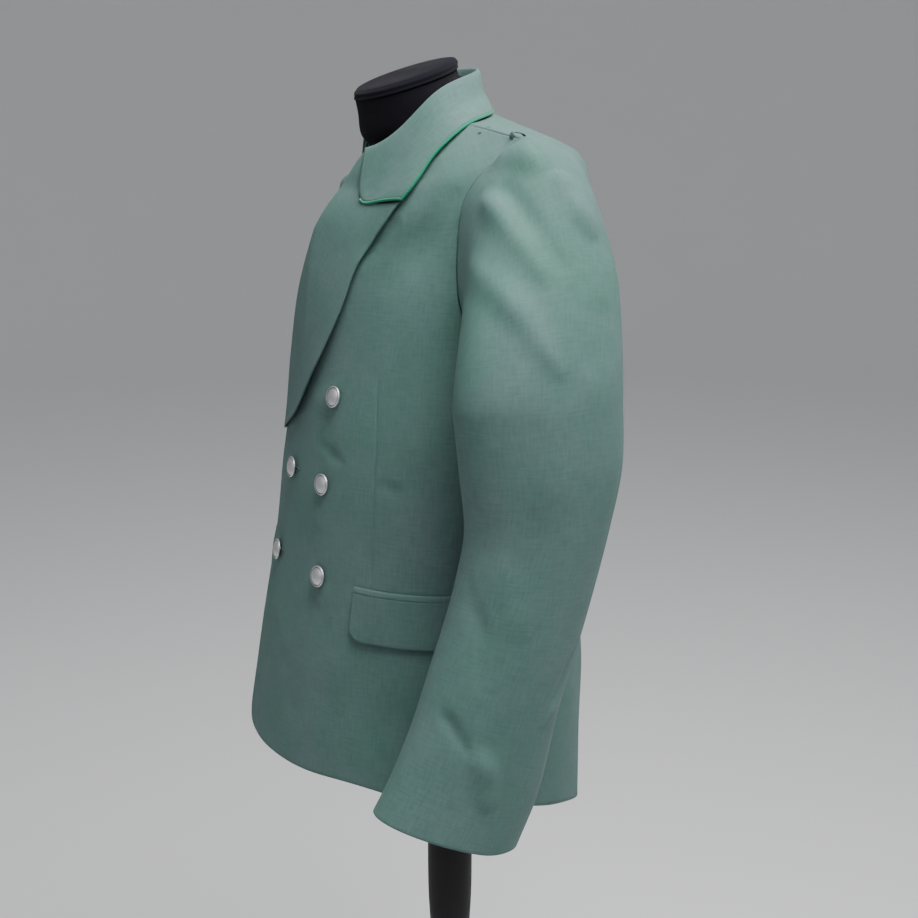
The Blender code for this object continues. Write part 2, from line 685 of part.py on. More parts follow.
# The dress form: how far it lies inside the cloth's outer surface at each body row
FORM_INSET = [0.030, 0.026, 0.020, 0.016, 0.014, 0.012, 0.010, 0.008, 0.0058, 0.0048,
              0.0046, 0.0048, 0.0052, 0.0054]
FORM_BACK_RISE = 0.0018   # how much nearer to the cloth its back lies
FORM_LOW_ROW = 0.55
NECK_ROWS = [
    # height  middle_y  radius_x radius_y front_low
    (1.468, -0.042, 0.0570, 0.0530, 0.0300),
    (1.480, -0.046, 0.0550, 0.0525, 0.0200),
    (1.491, -0.049, 0.0535, 0.0525, 0.0175),
]
CAP_THICK = 0.012


def oval(height, middle, half_x, half_y, front_low, count=28):
    """A ring round the neck whose front lies lower than its back."""
    angles = 2 * math.pi * np.arange(count) / count
    along = np.cos(angles)
    return np.stack([half_x * np.sin(angles), middle - half_y * along,
                     height - front_low * along], axis=-1)


def dress_form(covering, cap_finish):
    """The covered torso and neck in one piece, and the cap on the neck."""
    count = 28
    turns = np.arange(count) / count
    rows = [row for row in panel_rows() if row > FORM_LOW_ROW + 0.2]
    rows.insert(0, FORM_LOW_ROW)
    rings = []

    def ring_at(row):
        """The form's ring at a row; its chest lies under the right front."""
        across = np.abs(body_plain(turns, row)[:, 0])
        ahead = np.cos(2 * math.pi * turns)
        under = 1.2 * under_lap(across - 0.010) + 0.0026 * min(1.0, max(0.0, row - 10))
        under = np.where(ahead > 0.05, under, -FORM_BACK_RISE * np.clip(-2 * ahead, 0, 1))
        under += 0.006 * np.clip((across - 0.158) / 0.020, 0, 1) * (row > 9)
        inset = float(curve_through(FORM_INSET, row)) + under
        return body(turns, np.full(count, row), -inset, -1)

    first = ring_at(rows[0])
    middle = first.mean(axis=0)
    for shrink, drop in ((0.80, 0.030), (0.95, 0.018)):
        ring = middle + (first - middle) * shrink
        ring[:, 2] = first[:, 2] - drop
        rings.append(ring)
    rings[0][:, 2] = rings[0][:, 2].mean()
    for row in rows:
        rings.append(ring_at(row))
    for line in NECK_ROWS:
        rings.append(oval(*line, count=count))
    loft("form_torso", rings, covering)
    height, centre, half_x, half_y, low = NECK_ROWS[-1]
    cap_rings = []
    for grow, rise in ((-0.001, 0.0), (0.002, 0.003), (0.002, 0.008), (-0.002, CAP_THICK)):
        cap_rings.append(oval(height + SEAM_GAP + rise, centre, half_x + grow, half_y + grow,
                              low, count))
    loft("form_neck_cap", cap_rings, cap_finish)
    return float(rings[0][0, 2])


# The stand: a turned pole with a thicker top, a hub and a round foot
POLE_ROWS = [
    # height  radius
    (0.030, 0.0180),
    (0.400, 0.0182),
    (0.460, 0.0205),
    (0.511, 0.0240),
    (0.560, 0.0262),
    (0.640, 0.0264),
]
FOOT_RADIUS, FOOT_THICK, FOOT_EDGE = 0.190, 0.012, 0.003
HUB_RADIUS, HUB_TOP = 0.034, 0.030


def turned(name, profile, finish, sides=24):
    """A solid turned on the upright axis from (radius, height) pairs, foot first."""
    rings = [[(radius * math.cos(2 * math.pi * k / sides),
               radius * math.sin(2 * math.pi * k / sides), height)
              for k in range(sides)] for radius, height in profile]
    return loft(name, rings, finish)


def stand(pole_top, painted):
    turned("stand_foot", [
        (FOOT_RADIUS - FOOT_EDGE, 0.0),
        (FOOT_RADIUS, FOOT_EDGE),
        (FOOT_RADIUS, FOOT_THICK - FOOT_EDGE),
        (FOOT_RADIUS - FOOT_EDGE, FOOT_THICK)], painted, 40)
    turned("stand_hub", [
        (HUB_RADIUS, FOOT_THICK + SEAM_GAP),
        (HUB_RADIUS, HUB_TOP - 0.008),
        (0.024, HUB_TOP - SEAM_GAP)], painted)
    profile = [(radius, height) for height, radius in POLE_ROWS]
    profile.append((POLE_ROWS[-1][1], pole_top - SEAM_GAP))
    turned("stand_pole", profile, painted)


def main():
    for thing in list(bpy.data.objects):
        bpy.data.objects.remove(thing)
    cloth = material("tunic_cloth", (0.16, 0.27, 0.24), 0.8)
    bright = material("collar_piping", (0.0, 0.30, 0.17), 0.7)
    metal = material("button_metal", (0.62, 0.61, 0.60), 0.35, 1.0)
    covering = material("form_covering", (0.012, 0.012, 0.016), 0.9)
    painted = material("stand_paint", (0.010, 0.010, 0.012), 0.55)
    fronts_and_backs(cloth)
    lapels(cloth)
    collar(cloth, bright)
    sleeves(cloth)
    pockets(cloth)
    strap_loops(cloth)
    buttons(metal)
    pole_top = dress_form(covering, covering)
    stand(pole_top, painted)


main()
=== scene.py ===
"""The looks of a double-breasted military tunic on a limbless dress form and pole stand.

Metres, +Z up, the tunic faces -Y and the wearer's left is +X.  Each cloth piece is a thin
shell over the smooth surfaces that its solid was drawn on, with its creases placed one by one.
"""

import math

import bpy
import numpy as np
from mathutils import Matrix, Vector


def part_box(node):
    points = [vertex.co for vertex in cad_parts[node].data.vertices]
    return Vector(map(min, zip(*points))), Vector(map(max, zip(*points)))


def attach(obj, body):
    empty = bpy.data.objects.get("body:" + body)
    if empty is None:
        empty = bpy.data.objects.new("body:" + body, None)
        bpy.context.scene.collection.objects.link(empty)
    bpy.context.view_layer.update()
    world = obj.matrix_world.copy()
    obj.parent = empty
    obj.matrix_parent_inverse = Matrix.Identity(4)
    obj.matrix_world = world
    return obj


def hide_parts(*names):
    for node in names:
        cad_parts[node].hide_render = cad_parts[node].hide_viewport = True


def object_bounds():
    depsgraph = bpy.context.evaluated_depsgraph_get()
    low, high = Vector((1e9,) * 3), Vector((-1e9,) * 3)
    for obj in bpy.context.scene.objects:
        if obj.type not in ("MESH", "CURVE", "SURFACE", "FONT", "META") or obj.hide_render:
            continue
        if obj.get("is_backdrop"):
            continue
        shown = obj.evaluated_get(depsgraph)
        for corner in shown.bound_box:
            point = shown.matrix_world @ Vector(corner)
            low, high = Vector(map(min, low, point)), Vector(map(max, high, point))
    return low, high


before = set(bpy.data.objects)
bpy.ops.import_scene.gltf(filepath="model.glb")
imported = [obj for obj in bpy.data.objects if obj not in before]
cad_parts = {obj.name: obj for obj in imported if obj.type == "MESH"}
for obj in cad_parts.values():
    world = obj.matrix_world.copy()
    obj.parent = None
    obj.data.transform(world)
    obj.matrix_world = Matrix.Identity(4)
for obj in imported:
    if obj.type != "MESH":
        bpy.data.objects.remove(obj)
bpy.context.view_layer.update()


# Stand: a steel pole, its hub and a round foot, painted satin black.
# The pole is turned with a thicker top that disappears under the form; the hub screws it
# to the foot.  The foot and hub keep their solids and take the paint.

class Wire:
    """One shader socket.  Arithmetic on it adds Math nodes, and node() adds any other."""

    def __init__(self, socket):
        self.socket = socket

    def node(self, kind, inputs, output=0, **settings):
        tree = self.socket.id_data
        made = tree.nodes.new("ShaderNode" + kind)
        for name, value in settings.items():
            setattr(made, name, value)
        for place, value in inputs.items():
            if isinstance(value, Wire):
                tree.links.new(value.socket, made.inputs[place])
            else:
                made.inputs[place].default_value = value
        return Wire(made.outputs[output])

    def math(self, operation, *others):
        return self.node("Math", dict(enumerate((self, *others))), operation=operation)

    def __add__(self, other):
        return self.math("ADD", other)

    def __sub__(self, other):
        return self.math("SUBTRACT", other)

    def __mul__(self, other):
        return self.math("MULTIPLY", other)

    def __truediv__(self, other):
        return self.math("DIVIDE", other)

    def __pow__(self, other):
        return self.math("POWER", other)

    def __neg__(self):
        return self * -1.0

    def __rsub__(self, other):
        return -self + other

    __radd__, __rmul__ = __add__, __mul__

    def clamped(self):
        return self.math("MAXIMUM", 0.0).math("MINIMUM", 1.0)

    def stretched(self, across, up):
        return self.node("VectorMath", {0: self, 1: (across, up, 1.0)},
                         operation="MULTIPLY")

    def noise(self, scale, detail=2.0, rough=0.5):
        """A noise from 0 to 1, its features 1 / scale metres wide."""
        return self.node("TexNoise", {"Vector": self, "Scale": scale, "Detail": detail,
                                      "Roughness": rough})

    def part(self, axis):
        return self.node("SeparateXYZ", {0: self}, output=axis)

    def between(self, first, second):
        """A colour from first, where this is 0, to second, where it is 1."""
        return self.node("Mix", {0: self, 6: first, 7: second}, output=2,
                         data_type="RGBA")

    def shaded(self, amount):
        """This colour times a grey level."""
        return self.node("Mix", {0: 1.0, 6: self, 7: amount}, output=2,
                         data_type="RGBA", blend_type="MULTIPLY")


def new_material(name, **constants):
    """A material, its Principled shader, and wires of its UVs in metres and its place."""
    made = bpy.data.materials.new(name)
    made.use_nodes = True
    tree = made.node_tree
    shader = tree.nodes["Principled BSDF"]
    for word, value in constants.items():
        shader.inputs[word.replace("_", " ").title().replace("Ior", "IOR")
                      ].default_value = value
    place = tree.nodes.new("ShaderNodeTexCoord")
    flat = tree.nodes.new("ShaderNodeUVMap")
    flat.uv_map = "flat"
    return made, shader, Wire(flat.outputs[0]), Wire(place.outputs["Object"])


def finish_with(shader, colour, roughness, relief, depth):
    """Joins a colour, a roughness and a relief (in shares of depth) to a shader."""
    bump = relief.node("Bump", {"Strength": 1.0, "Distance": depth, "Height": relief})
    for place, wire in (("Base Color", colour), ("Roughness", roughness), ("Normal", bump)):
        shader.id_data.links.new(wire.socket, shader.inputs[place])


def curve_through(values, place):
    """A smooth curve (Catmull-Rom) through evenly placed values, along their first axis."""
    values = np.asarray(values, float)
    place = np.clip(np.asarray(place, float), 0.0, len(values) - 1.0)
    first = np.minimum(place.astype(int), len(values) - 2)
    part = (place - first).reshape(place.shape + (1,) * (values.ndim - 1))
    before = values[np.maximum(first - 1, 0)]
    here, after = values[first], values[first + 1]
    beyond = values[np.minimum(first + 2, len(values) - 1)]
    return 0.5 * (2 * here + (after - before) * part
                  + (2 * before - 5 * here + 4 * after - beyond) * part ** 2
                  + (3 * here - before - 3 * after + beyond) * part ** 3)


# How the coat, turned on the form, settles at its shoulders, hem and right front: each line
# fades in from the first to the second place along each axis, and moves what is there back
# and up.  Nothing below CLEAR_OF_STAND moves.
SETTLING = [
    # x_from x_to   y_from y_to   z_from z_to   back    up
    (-0.050, -0.170, 0.500, 0.400, 1.230, 1.400, 0.020, 0.000),
    (0.080, 0.160, -0.040, 0.050, 1.300, 1.400, -0.010, -0.005),
    (0.120, 0.200, -0.120, -0.040, 0.850, 0.770, 0.000, 0.011),
    (0.120, 0.020, -0.090, -0.160, 0.860, 0.780, 0.000, 0.006),
    (-0.050, -0.120, -0.060, -0.130, 0.700, 0.740, 0.004, 0.000),
]
CLEAR_OF_STAND = 0.65


def settled(points):
    """Points moved by the settling of the coat."""
    points = np.array(points, float)
    moved = np.zeros_like(points)
    for line in SETTLING:
        share = points[..., 2] > CLEAR_OF_STAND
        for axis in range(3):
            first, last = line[2 * axis:2 * axis + 2]
            part = np.clip((points[..., axis] - first) / (last - first), 0, 1)
            share = share * part * part * (3 - 2 * part)
        moved[..., 1] += share * line[6]
        moved[..., 2] += share * line[7]
    return points + moved


def linked(name, data):
    """A new object in the scene."""
    made = bpy.data.objects.new(name, data)
    bpy.context.scene.collection.objects.link(made)
    return made


def add_piece(name, points, faces, flat, finish, node, around=0.0):
    """A piece of quads and end faces, with flat places in metres, that hides its CAD node."""
    points = settled(points)
    quads = np.array([face for face in faces if len(face) == 4])
    a, b, c, d = (points[quads[:, k]] for k in range(4))
    if np.sum(a * (np.cross(b, c) + np.cross(c, d))) < 0:
        faces = [tuple(face[::-1]) for face in faces]
    mesh = bpy.data.meshes.new(name)
    mesh.from_pydata(points.tolist(), [], [tuple(face) for face in faces])
    places = mesh.uv_layers.new(name="flat")
    corners = np.empty(len(mesh.loops), int)
    mesh.loops.foreach_get("vertex_index", corners)
    uv = np.asarray(flat, float)[corners]
    if around:
        starts = np.repeat([p.loop_start for p in mesh.polygons],
                           [p.loop_total for p in mesh.polygons])
        uv[:, 0] += around * np.round((uv[starts, 0] - uv[:, 0]) / around)
    places.data.foreach_set("uv", uv.ravel())
    mesh.shade_smooth()
    mesh.materials.append(finish)
    piece = linked(name, mesh)
    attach(piece, "root")
    if node:
        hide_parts(node)
    return piece


def skin(name, rings, finish, node):
    """A solid skinned over closed rings of points."""
    rings = np.asarray(rings)
    count = rings.shape[1]
    i, j = np.meshgrid(np.arange(len(rings) - 1), np.arange(count), indexing="ij")
    k = (j + 1) % count
    faces = np.stack([i * count + j, i * count + k, (i + 1) * count + k,
                      (i + 1) * count + j], axis=-1).reshape(-1, 4).tolist()
    faces += [list(range(count))[::-1],
              [(len(rings) - 1) * count + j for j in range(count)]]
    steps = np.linalg.norm(np.diff(rings, axis=0), axis=2).mean(axis=1)
    up = np.concatenate([[0], np.cumsum(steps)])
    girth = np.linalg.norm(rings - np.roll(rings, 1, axis=1), axis=2).sum(axis=1).max()
    flat = np.stack(np.broadcast_arrays(np.arange(count) / count * girth, up[:, None]),
                    axis=-1)
    return add_piece(name, rings.reshape(-1, 3), faces, flat.reshape(-1, 2), finish,
                     node, around=girth)


def paint():
    """Satin black stove paint: a fine orange peel, soft scuffs and a little dust."""
    made, shader, _, place = new_material("stand_paint", specular_ior_level=0.25)
    peel = place.noise(900.0, 1.0)
    scuffs = (place.noise(38.0, 5.0, 0.7) - 0.52).clamped() * 3.0
    colour = scuffs.clamped().between((0.0035, 0.0032, 0.0045, 1), (0.012, 0.011, 0.013, 1))
    finish_with(shader, colour, 0.50 + 0.16 * place.noise(14.0) + 0.2 * scuffs,
                peel + 0.6 * place.noise(70.0), 0.00006)
    return made


stand_paint = paint()
POLE_ROWS = [
    # height radius
    (0.030, 0.0180),
    (0.400, 0.0182),
    (0.460, 0.0205),
    (0.511, 0.0240),
    (0.560, 0.0262),
    (0.640, 0.0264),
]
POLE_SIDES = 96
pole_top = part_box("stand_pole")[1].z
pole_profile = [tuple(curve_through(POLE_ROWS, place)) for place in np.linspace(0, 5, 61)]
pole_profile.append((pole_top, POLE_ROWS[-1][1]))
pole_turns = 2 * math.pi * np.arange(POLE_SIDES) / POLE_SIDES
skin("pole", [[(radius * math.cos(turn), radius * math.sin(turn), height)
               for turn in pole_turns] for height, radius in pole_profile],
     stand_paint, "stand_pole")
for stand_node in ("stand_foot", "stand_hub"):
    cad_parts[stand_node].data.materials.clear()
    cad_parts[stand_node].data.materials.append(stand_paint)


# Dress form: a moulded torso and neck under black stretch jersey, and the padded cap on
# its cut neck.  The jersey's ribs run down it, and its edge is drawn in under the cap.

# Sections of the tunic's body, hem first: side height, half width, reach forwards and
# back, how much lower the row lies at the centre front and back, how much higher between
# the front and the side, how pointed the front is, and how far the left front swells and
# the right one falls back on the turned coat.
BODY_ROWS = [
    # height  half   front  back   front_low back_low between point swell  hollow
    (0.768, 0.225, 0.228, 0.131, -0.016, 0.066, 0.018, 0.92, 0.000, 0.000),
    (0.900, 0.215, 0.210, 0.130, 0.000, 0.000, 0.000, 0.88, 0.000, 0.000),
    (1.010, 0.199, 0.190, 0.119, 0.000, 0.000, 0.000, 0.86, 0.000, 0.000),
    (1.090, 0.196, 0.180, 0.122, 0.000, 0.000, 0.000, 0.86, 0.000, 0.000),
    (1.150, 0.200, 0.170, 0.125, 0.000, 0.000, 0.000, 0.92, 0.000, 0.000),
    (1.210, 0.206, 0.157, 0.133, 0.000, 0.000, 0.000, 1.06, 0.008, 0.000),
    (1.280, 0.211, 0.143, 0.137, 0.000, 0.000, 0.000, 1.25, 0.017, 0.003),
    (1.345, 0.214, 0.130, 0.134, 0.010, 0.000, 0.000, 1.50, 0.021, 0.007),
    (1.396, 0.213, 0.124, 0.130, 0.040, 0.000, 0.000, 1.60, 0.022, 0.013),
    (1.427, 0.205, 0.118, 0.120, 0.056, 0.008, 0.000, 1.60, 0.022, 0.020),
    (1.441, 0.184, 0.113, 0.104, 0.061, 0.011, 0.000, 1.40, 0.022, 0.026),
    (1.447, 0.146, 0.109, 0.080, 0.059, 0.005, 0.000, 1.20, 0.021, 0.028),
    (1.453, 0.107, 0.105, 0.050, 0.050, -0.004, 0.000, 1.00, 0.020, 0.024),
    (1.459, 0.074, 0.100, 0.018, 0.040, -0.014, 0.000, 1.00, 0.018, 0.010),
]
NECK_ROW = len(BODY_ROWS) - 1.0
SWELL_REACH = 0.090
HOLLOW_FROM, HOLLOW_TO = 0.095, 0.155
CLOTH = 0.0020
LAY_GAP = 0.0004
SEAM_GAP = 0.00035
SEAM_TRIM = SEAM_GAP / 1.2   # in turns, of a body about 1.2 m round


def body_plain(turn, row, side=0):
    """The body's surface, drawn as the wearer's left; side is 1 or -1 for the fronts."""
    turn, row = np.broadcast_arrays(np.asarray(turn, float), np.asarray(row, float))
    (height, half, front, back, front_low, back_low, higher, point, swell,
     hollow) = np.moveaxis(curve_through(BODY_ROWS, row), -1, 0)
    angle = 2 * math.pi * turn
    across, along = half * np.sin(angle), np.cos(angle)
    low = np.where(along > 0, front_low * along - higher * np.sin(2 * angle) ** 2,
                   -back_low * along)
    ahead = np.where(along > 0, np.maximum(along, 0) ** point, along)
    y = (back - front) / 2 - (back + front) / 2 * ahead
    if side > 0:
        fade = np.clip(1 - np.maximum(across, 0) / SWELL_REACH, 0, 1) ** 1.5
        y = y - swell * fade * (along > 0)
    if side < 0:
        fade = np.clip((HOLLOW_TO - np.abs(across)) / (HOLLOW_TO - HOLLOW_FROM), 0, 1)
        y = y + hollow * fade ** 1.5 * np.maximum(along, 0) ** 0.7
    return np.stack([across, y, height - low], axis=-1)


NORMAL_STEP = 1e-3


def normals_of(surface, first, second):
    step = NORMAL_STEP
    along = surface(first + step, second) - surface(first - step, second)
    up = surface(first, second + step) - surface(first, second - step)
    normal = np.cross(along, up)
    return normal / np.linalg.norm(normal, axis=-1, keepdims=True)


def body(turn, row, out=0.0, side=0):
    """The body's surface moved out by a distance."""
    turn, row = np.broadcast_arrays(np.asarray(turn, float), np.asarray(row, float))
    inside = np.clip(row, 2e-3, NECK_ROW - 2e-3)
    normal = normals_of(lambda first, second: body_plain(first, second, side), turn, inside)
    return body_plain(turn, row, side) + normal * np.asarray(out)[..., None]


def under_lap(across):
    """How far the right front (drawn as a left one) lies under the other front."""
    share = np.clip((0.110 - across) / 0.022, 0, 1)
    return (CLOTH + LAY_GAP + 0.0007) * share * share * (3 - 2 * share)


FORM_INSET = [0.030, 0.026, 0.020, 0.016, 0.014, 0.012, 0.010, 0.008, 0.0058, 0.0048,
              0.0046, 0.0048, 0.0052, 0.0054]
FORM_BACK_RISE = 0.0018
FORM_LOW_ROW = 0.55
NECK_ROWS = [
    # height  middle_y  radius_x radius_y front_low
    (1.468, -0.042, 0.0570, 0.0530, 0.0300),
    (1.480, -0.046, 0.0550, 0.0525, 0.0200),
    (1.491, -0.049, 0.0535, 0.0525, 0.0175),
]
FORM_SIDES = 144
form_turns = np.arange(FORM_SIDES) / FORM_SIDES


def form_ring(row):
    """The form's ring inside one row of the body; its chest lies under the right front."""
    across = np.abs(body_plain(form_turns, row)[:, 0])
    ahead = np.cos(2 * math.pi * form_turns)
    under = 1.2 * under_lap(across - 0.010) + 0.0026 * min(1.0, max(0.0, row - 10))
    under = np.where(ahead > 0.05, under, -FORM_BACK_RISE * np.clip(-2 * ahead, 0, 1))
    under += 0.006 * np.clip((across - 0.158) / 0.020, 0, 1) * (row > 9)
    return body(form_turns, np.full(FORM_SIDES, row),
                -float(curve_through(FORM_INSET, row)) - under, -1)


def neck_ring(height, middle, half_x, half_y, front_low):
    angles = 2 * math.pi * form_turns
    return np.stack([half_x * np.sin(angles), middle - half_y * np.cos(angles),
                     height - front_low * np.cos(angles)], axis=-1)


def jersey():
    """Black stretch jersey: knitted ribs 1.1 mm apart, fine loops and a little lint."""
    made, shader, flat, place = new_material(
        "form_covering", sheen_weight=0.03, sheen_roughness=0.45, specular_ior_level=0.10)
    rib = (flat.part(0) * (2 * math.pi / 0.0011)).math("SINE")
    loops = ((flat.part(1) + 0.0003 * rib) * (2 * math.pi / 0.0013)).math("SINE")
    lint = (place.noise(260.0, 4.0, 0.7) - 0.60).clamped() * 2.5
    soft = place.noise(9.0, 3.0)
    colour = (0.35 * soft + lint).clamped().between((0.0035, 0.0030, 0.0062, 1),
                                                    (0.014, 0.012, 0.020, 1))
    finish_with(shader, colour, 0.80 + 0.12 * soft,
                0.5 * rib + 0.3 * rib * loops + 2.0 * soft, 0.00022)
    return made


form_covering = jersey()
first_ring = form_ring(FORM_LOW_ROW)
form_middle = first_ring.mean(axis=0)
form_rings = []
for shrink, drop in ((0.80, 0.030), (0.95, 0.018)):
    ring = form_middle + (first_ring - form_middle) * shrink
    ring[:, 2] = first_ring[:, 2] - drop
    form_rings.append(ring)
form_rings[0][:, 2] = form_rings[0][:, 2].mean()
form_rings += [form_ring(row) for row in np.linspace(FORM_LOW_ROW, NECK_ROW, 40)]
neck_first = len(form_rings)
form_rings += [neck_ring(*line) for line in NECK_ROWS]
neck_places = np.linspace(neck_first - 1, len(form_rings) - 1, 19)[1:]
form_rings = np.concatenate([form_rings[:neck_first],
                             curve_through(form_rings, neck_places)])
skin("form_body", form_rings, form_covering, "form_torso")

cap_height, cap_middle, cap_x, cap_y, cap_low = NECK_ROWS[-1]
CAP_ROWS = [
    # share of the radius, added radius, rise: the folded lower edge, the side, the pad
    (1.00, -0.0004, 0.0004),
    (1.00, 0.0014, 0.0014),
    (1.00, 0.0010, 0.0040),
    (1.00, 0.0012, 0.0070),
    (0.99, 0.0000, 0.0094),
    (0.95, 0.0000, 0.0112),
    (0.82, 0.0000, 0.0121),
    (0.50, 0.0000, 0.0121),
    (0.10, 0.0000, 0.0118),
]
cap_rings = []
for share, grow, rise in curve_through(CAP_ROWS, np.linspace(0, len(CAP_ROWS) - 1, 51)):
    cap_rings.append(neck_ring(cap_height + rise, cap_middle, cap_x * share + grow,
                               cap_y * share + grow, cap_low * share))
skin("neck_cap", cap_rings, form_covering, "form_neck_cap")


# Backs and fronts: two back panels and two fronts of wool twill with interlining, joined
# at the middle of the back, the sides and the shoulders.  The left front laps over the
# right one; each has a sewn waist dart down to its pocket.

SIDE_TURN = 0.245
LAP = 0.083
BREAK_HEIGHT = 1.118
ROLL_TOPS = {1: (0.028, 1.424), -1: (0.0637, 1.440)}
HEM_CORNER = 0.042
CORNER_ROW = 0.65
ARM_LOW, ARM_HIGH = 5.20, 10.25
ARM_FRONT, ARM_BACK = 0.112, 0.080
ARM_SQUARE = 2.4
SLEEVE_HEAD = 0.985
DART_TURNS = [0.1225, 0.1225, 0.1202, 0.1163, 0.1071, 0.0920, 0.0830]   # for rows 0 to 6
DART_LOW, DART_HIGH = 1.92, 5.08
DART_DEEP, DART_HALF = 0.0011, 0.0013
WEAVE_PITCH = 0.0009
CLOTH_GREEN, CLOTH_GREY = (0.062, 0.154, 0.121, 1), (0.100, 0.160, 0.158, 1)
CLOTH_SLUB = (0.042, 0.090, 0.078, 1)

# Creases of the body: width, height (negative for a trough) and the points that each
# runs through.  The first list shows in the photo; the others are its like, elsewhere.
FRONT_FOLDS = [
    (0.011, 0.0024, (0.071, -0.151, 1.198), (0.030, -0.166, 1.168), (0.015, -0.176, 1.112)),
    (0.006, -0.0022, (0.045, -0.170, 1.132), (0.070, -0.166, 1.124), (0.092, -0.160, 1.116)),
    (0.011, 0.0022, (0.064, -0.174, 1.076), (0.041, -0.186, 1.020)),
    (0.006, -0.0014, (0.132, -0.142, 1.102), (0.158, -0.124, 1.101)),
    (0.014, -0.0018, (0.050, -0.192, 0.978), (0.104, -0.185, 0.933)),
    (0.013, -0.0034, (0.060, -0.128, 1.318), (0.098, -0.101, 1.364)),
    (0.024, -0.0034, (0.152, -0.060, 1.392), (0.127, -0.093, 1.339), (0.092, -0.121, 1.290)),
    (0.016, 0.0020, (0.125, -0.037, 1.438), (0.130, -0.078, 1.383), (0.090, -0.113, 1.333)),
    (0.016, 0.0018, (-0.025, -0.200, 0.950), (0.040, -0.206, 0.900)),
    (0.022, 0.0016, (0.131, -0.169, 0.965), (0.113, -0.191, 0.872)),
    (0.024, -0.0020, (0.185, -0.136, 0.896), (0.150, -0.177, 0.832)),
    (0.020, -0.0018, (0.020, -0.214, 0.905), (0.075, -0.212, 0.830)),
]
RIGHT_FOLDS = [
    (0.012, 0.0024, (0.088, -0.147, 1.190), (0.050, -0.160, 1.150), (0.044, -0.168, 1.100)),
    (0.007, -0.0018, (0.098, -0.158, 1.120), (0.128, -0.146, 1.104)),
    (0.020, -0.0030, (0.160, -0.058, 1.385), (0.135, -0.090, 1.325), (0.118, -0.112, 1.275)),
    (0.015, -0.0020, (0.100, -0.178, 0.968), (0.150, -0.162, 0.925)),
    (0.022, 0.0018, (0.140, -0.166, 0.955), (0.118, -0.188, 0.850)),
    (0.020, -0.0020, (0.190, -0.130, 0.885), (0.160, -0.170, 0.815)),
]
FOLDS_OF = {1: FRONT_FOLDS, -1: RIGHT_FOLDS}
BACK_FOLDS = [
    (0.018, -0.0030, (0.135, 0.090, 1.350), (0.105, 0.122, 1.270), (0.090, 0.126, 1.190)),
    (0.014, 0.0022, (0.165, 0.068, 1.340), (0.150, 0.098, 1.250)),
    (0.020, -0.0028, (0.175, 0.050, 1.120), (0.120, 0.100, 1.085), (0.060, 0.120, 1.100)),
    (0.018, 0.0024, (0.180, 0.048, 1.085), (0.120, 0.104, 1.045)),
    (0.024, -0.0032, (0.090, 0.118, 1.000), (0.080, 0.132, 0.860), (0.082, 0.138, 0.730)),
    (0.022, 0.0026, (0.135, 0.096, 0.980), (0.140, 0.108, 0.800)),
]


def turn_at(across, row):
    """The turn, on the front half, where the body is this far to the wearer's left."""
    half = curve_through([line[1] for line in BODY_ROWS], row)
    return np.arcsin(np.clip(across / half, -1, 1)) / (2 * math.pi)


def row_for(height, turn):
    """The row where the body reaches this height at this turn."""
    height, turn = np.broadcast_arrays(np.asarray(height, float), np.asarray(turn, float))
    low, high = np.zeros(height.shape), np.full(height.shape, NECK_ROW)
    for _ in range(30):
        middle = (low + high) / 2
        under = body_plain(turn, middle)[..., 2] < height
        low, high = np.where(under, middle, low), np.where(under, high, middle)
    return (low + high) / 2


def front_place(across, height):
    """The turn and row of a front's point, by its distance to its side and its height."""
    turn = np.full(np.broadcast(across, height).shape, 0.05)
    for _ in range(12):
        row = row_for(height, turn)
        turn = turn_at(across, row)
    return turn, row


def roll_across(height, side=1):
    """How far to its own side a front's roll line lies from the middle at a height."""
    across, top = ROLL_TOPS[side]
    part = (height - BREAK_HEIGHT) / (top - BREAK_HEIGHT)
    return -LAP + (across + LAP) * np.clip(part, 0, 1)


def front_edge_turn(row, side):
    turn = np.full(np.shape(row), -0.06)
    for _ in range(14):
        turn = turn_at(roll_across(body_plain(turn, row)[..., 2], side), row)
    return turn


def armhole_half(row, width):
    middle, reach = (ARM_LOW + ARM_HIGH) / 2, (ARM_HIGH - ARM_LOW) / 2
    share = np.clip((row - middle) / reach, -1, 1)
    return width * (1 - abs(share) ** ARM_SQUARE) ** (1 / ARM_SQUARE)


def crease(points, folds):
    """How far the creases lift each point.  Each fades towards its two ends."""
    total = np.zeros(points.shape[:-1])
    for wide, high, *route in folds:
        route = np.array(route)
        nearest = np.full(total.shape, np.inf)
        along = np.zeros(total.shape)
        for k, (start, end) in enumerate(zip(route[:-1], route[1:])):
            step = end - start
            part = np.clip((points - start) @ step / (step @ step), 0, 1)
            away = np.linalg.norm(points - start - part[..., None] * step, axis=-1)
            along = np.where(away < nearest, (k + part) / (len(route) - 1), along)
            nearest = np.minimum(away, nearest)
        fade = np.sin(math.pi * along) ** 0.7
        uneven = 1 + 0.22 * np.sin(9 * along + 400 * wide)
        total += high * fade * uneven * np.exp(-(nearest / (wide * (0.5 + 0.5 * fade))) ** 2)
    return total


def flat_of(points, middle):
    """Places on the cut cloth, in metres, square to the grain at one middle column."""
    across = np.linalg.norm(np.diff(points, axis=1), axis=2)
    across = np.concatenate([np.zeros((len(points), 1)), np.cumsum(across, axis=1)], axis=1)
    up = np.linalg.norm(np.diff(points[:, middle], axis=0), axis=1)
    up = np.concatenate([[0], np.cumsum(up)])
    return np.stack(np.broadcast_arrays(across - across[:, middle:middle + 1],
                                        up[:, None]), axis=-1)


RIM_ROUND = 0.40


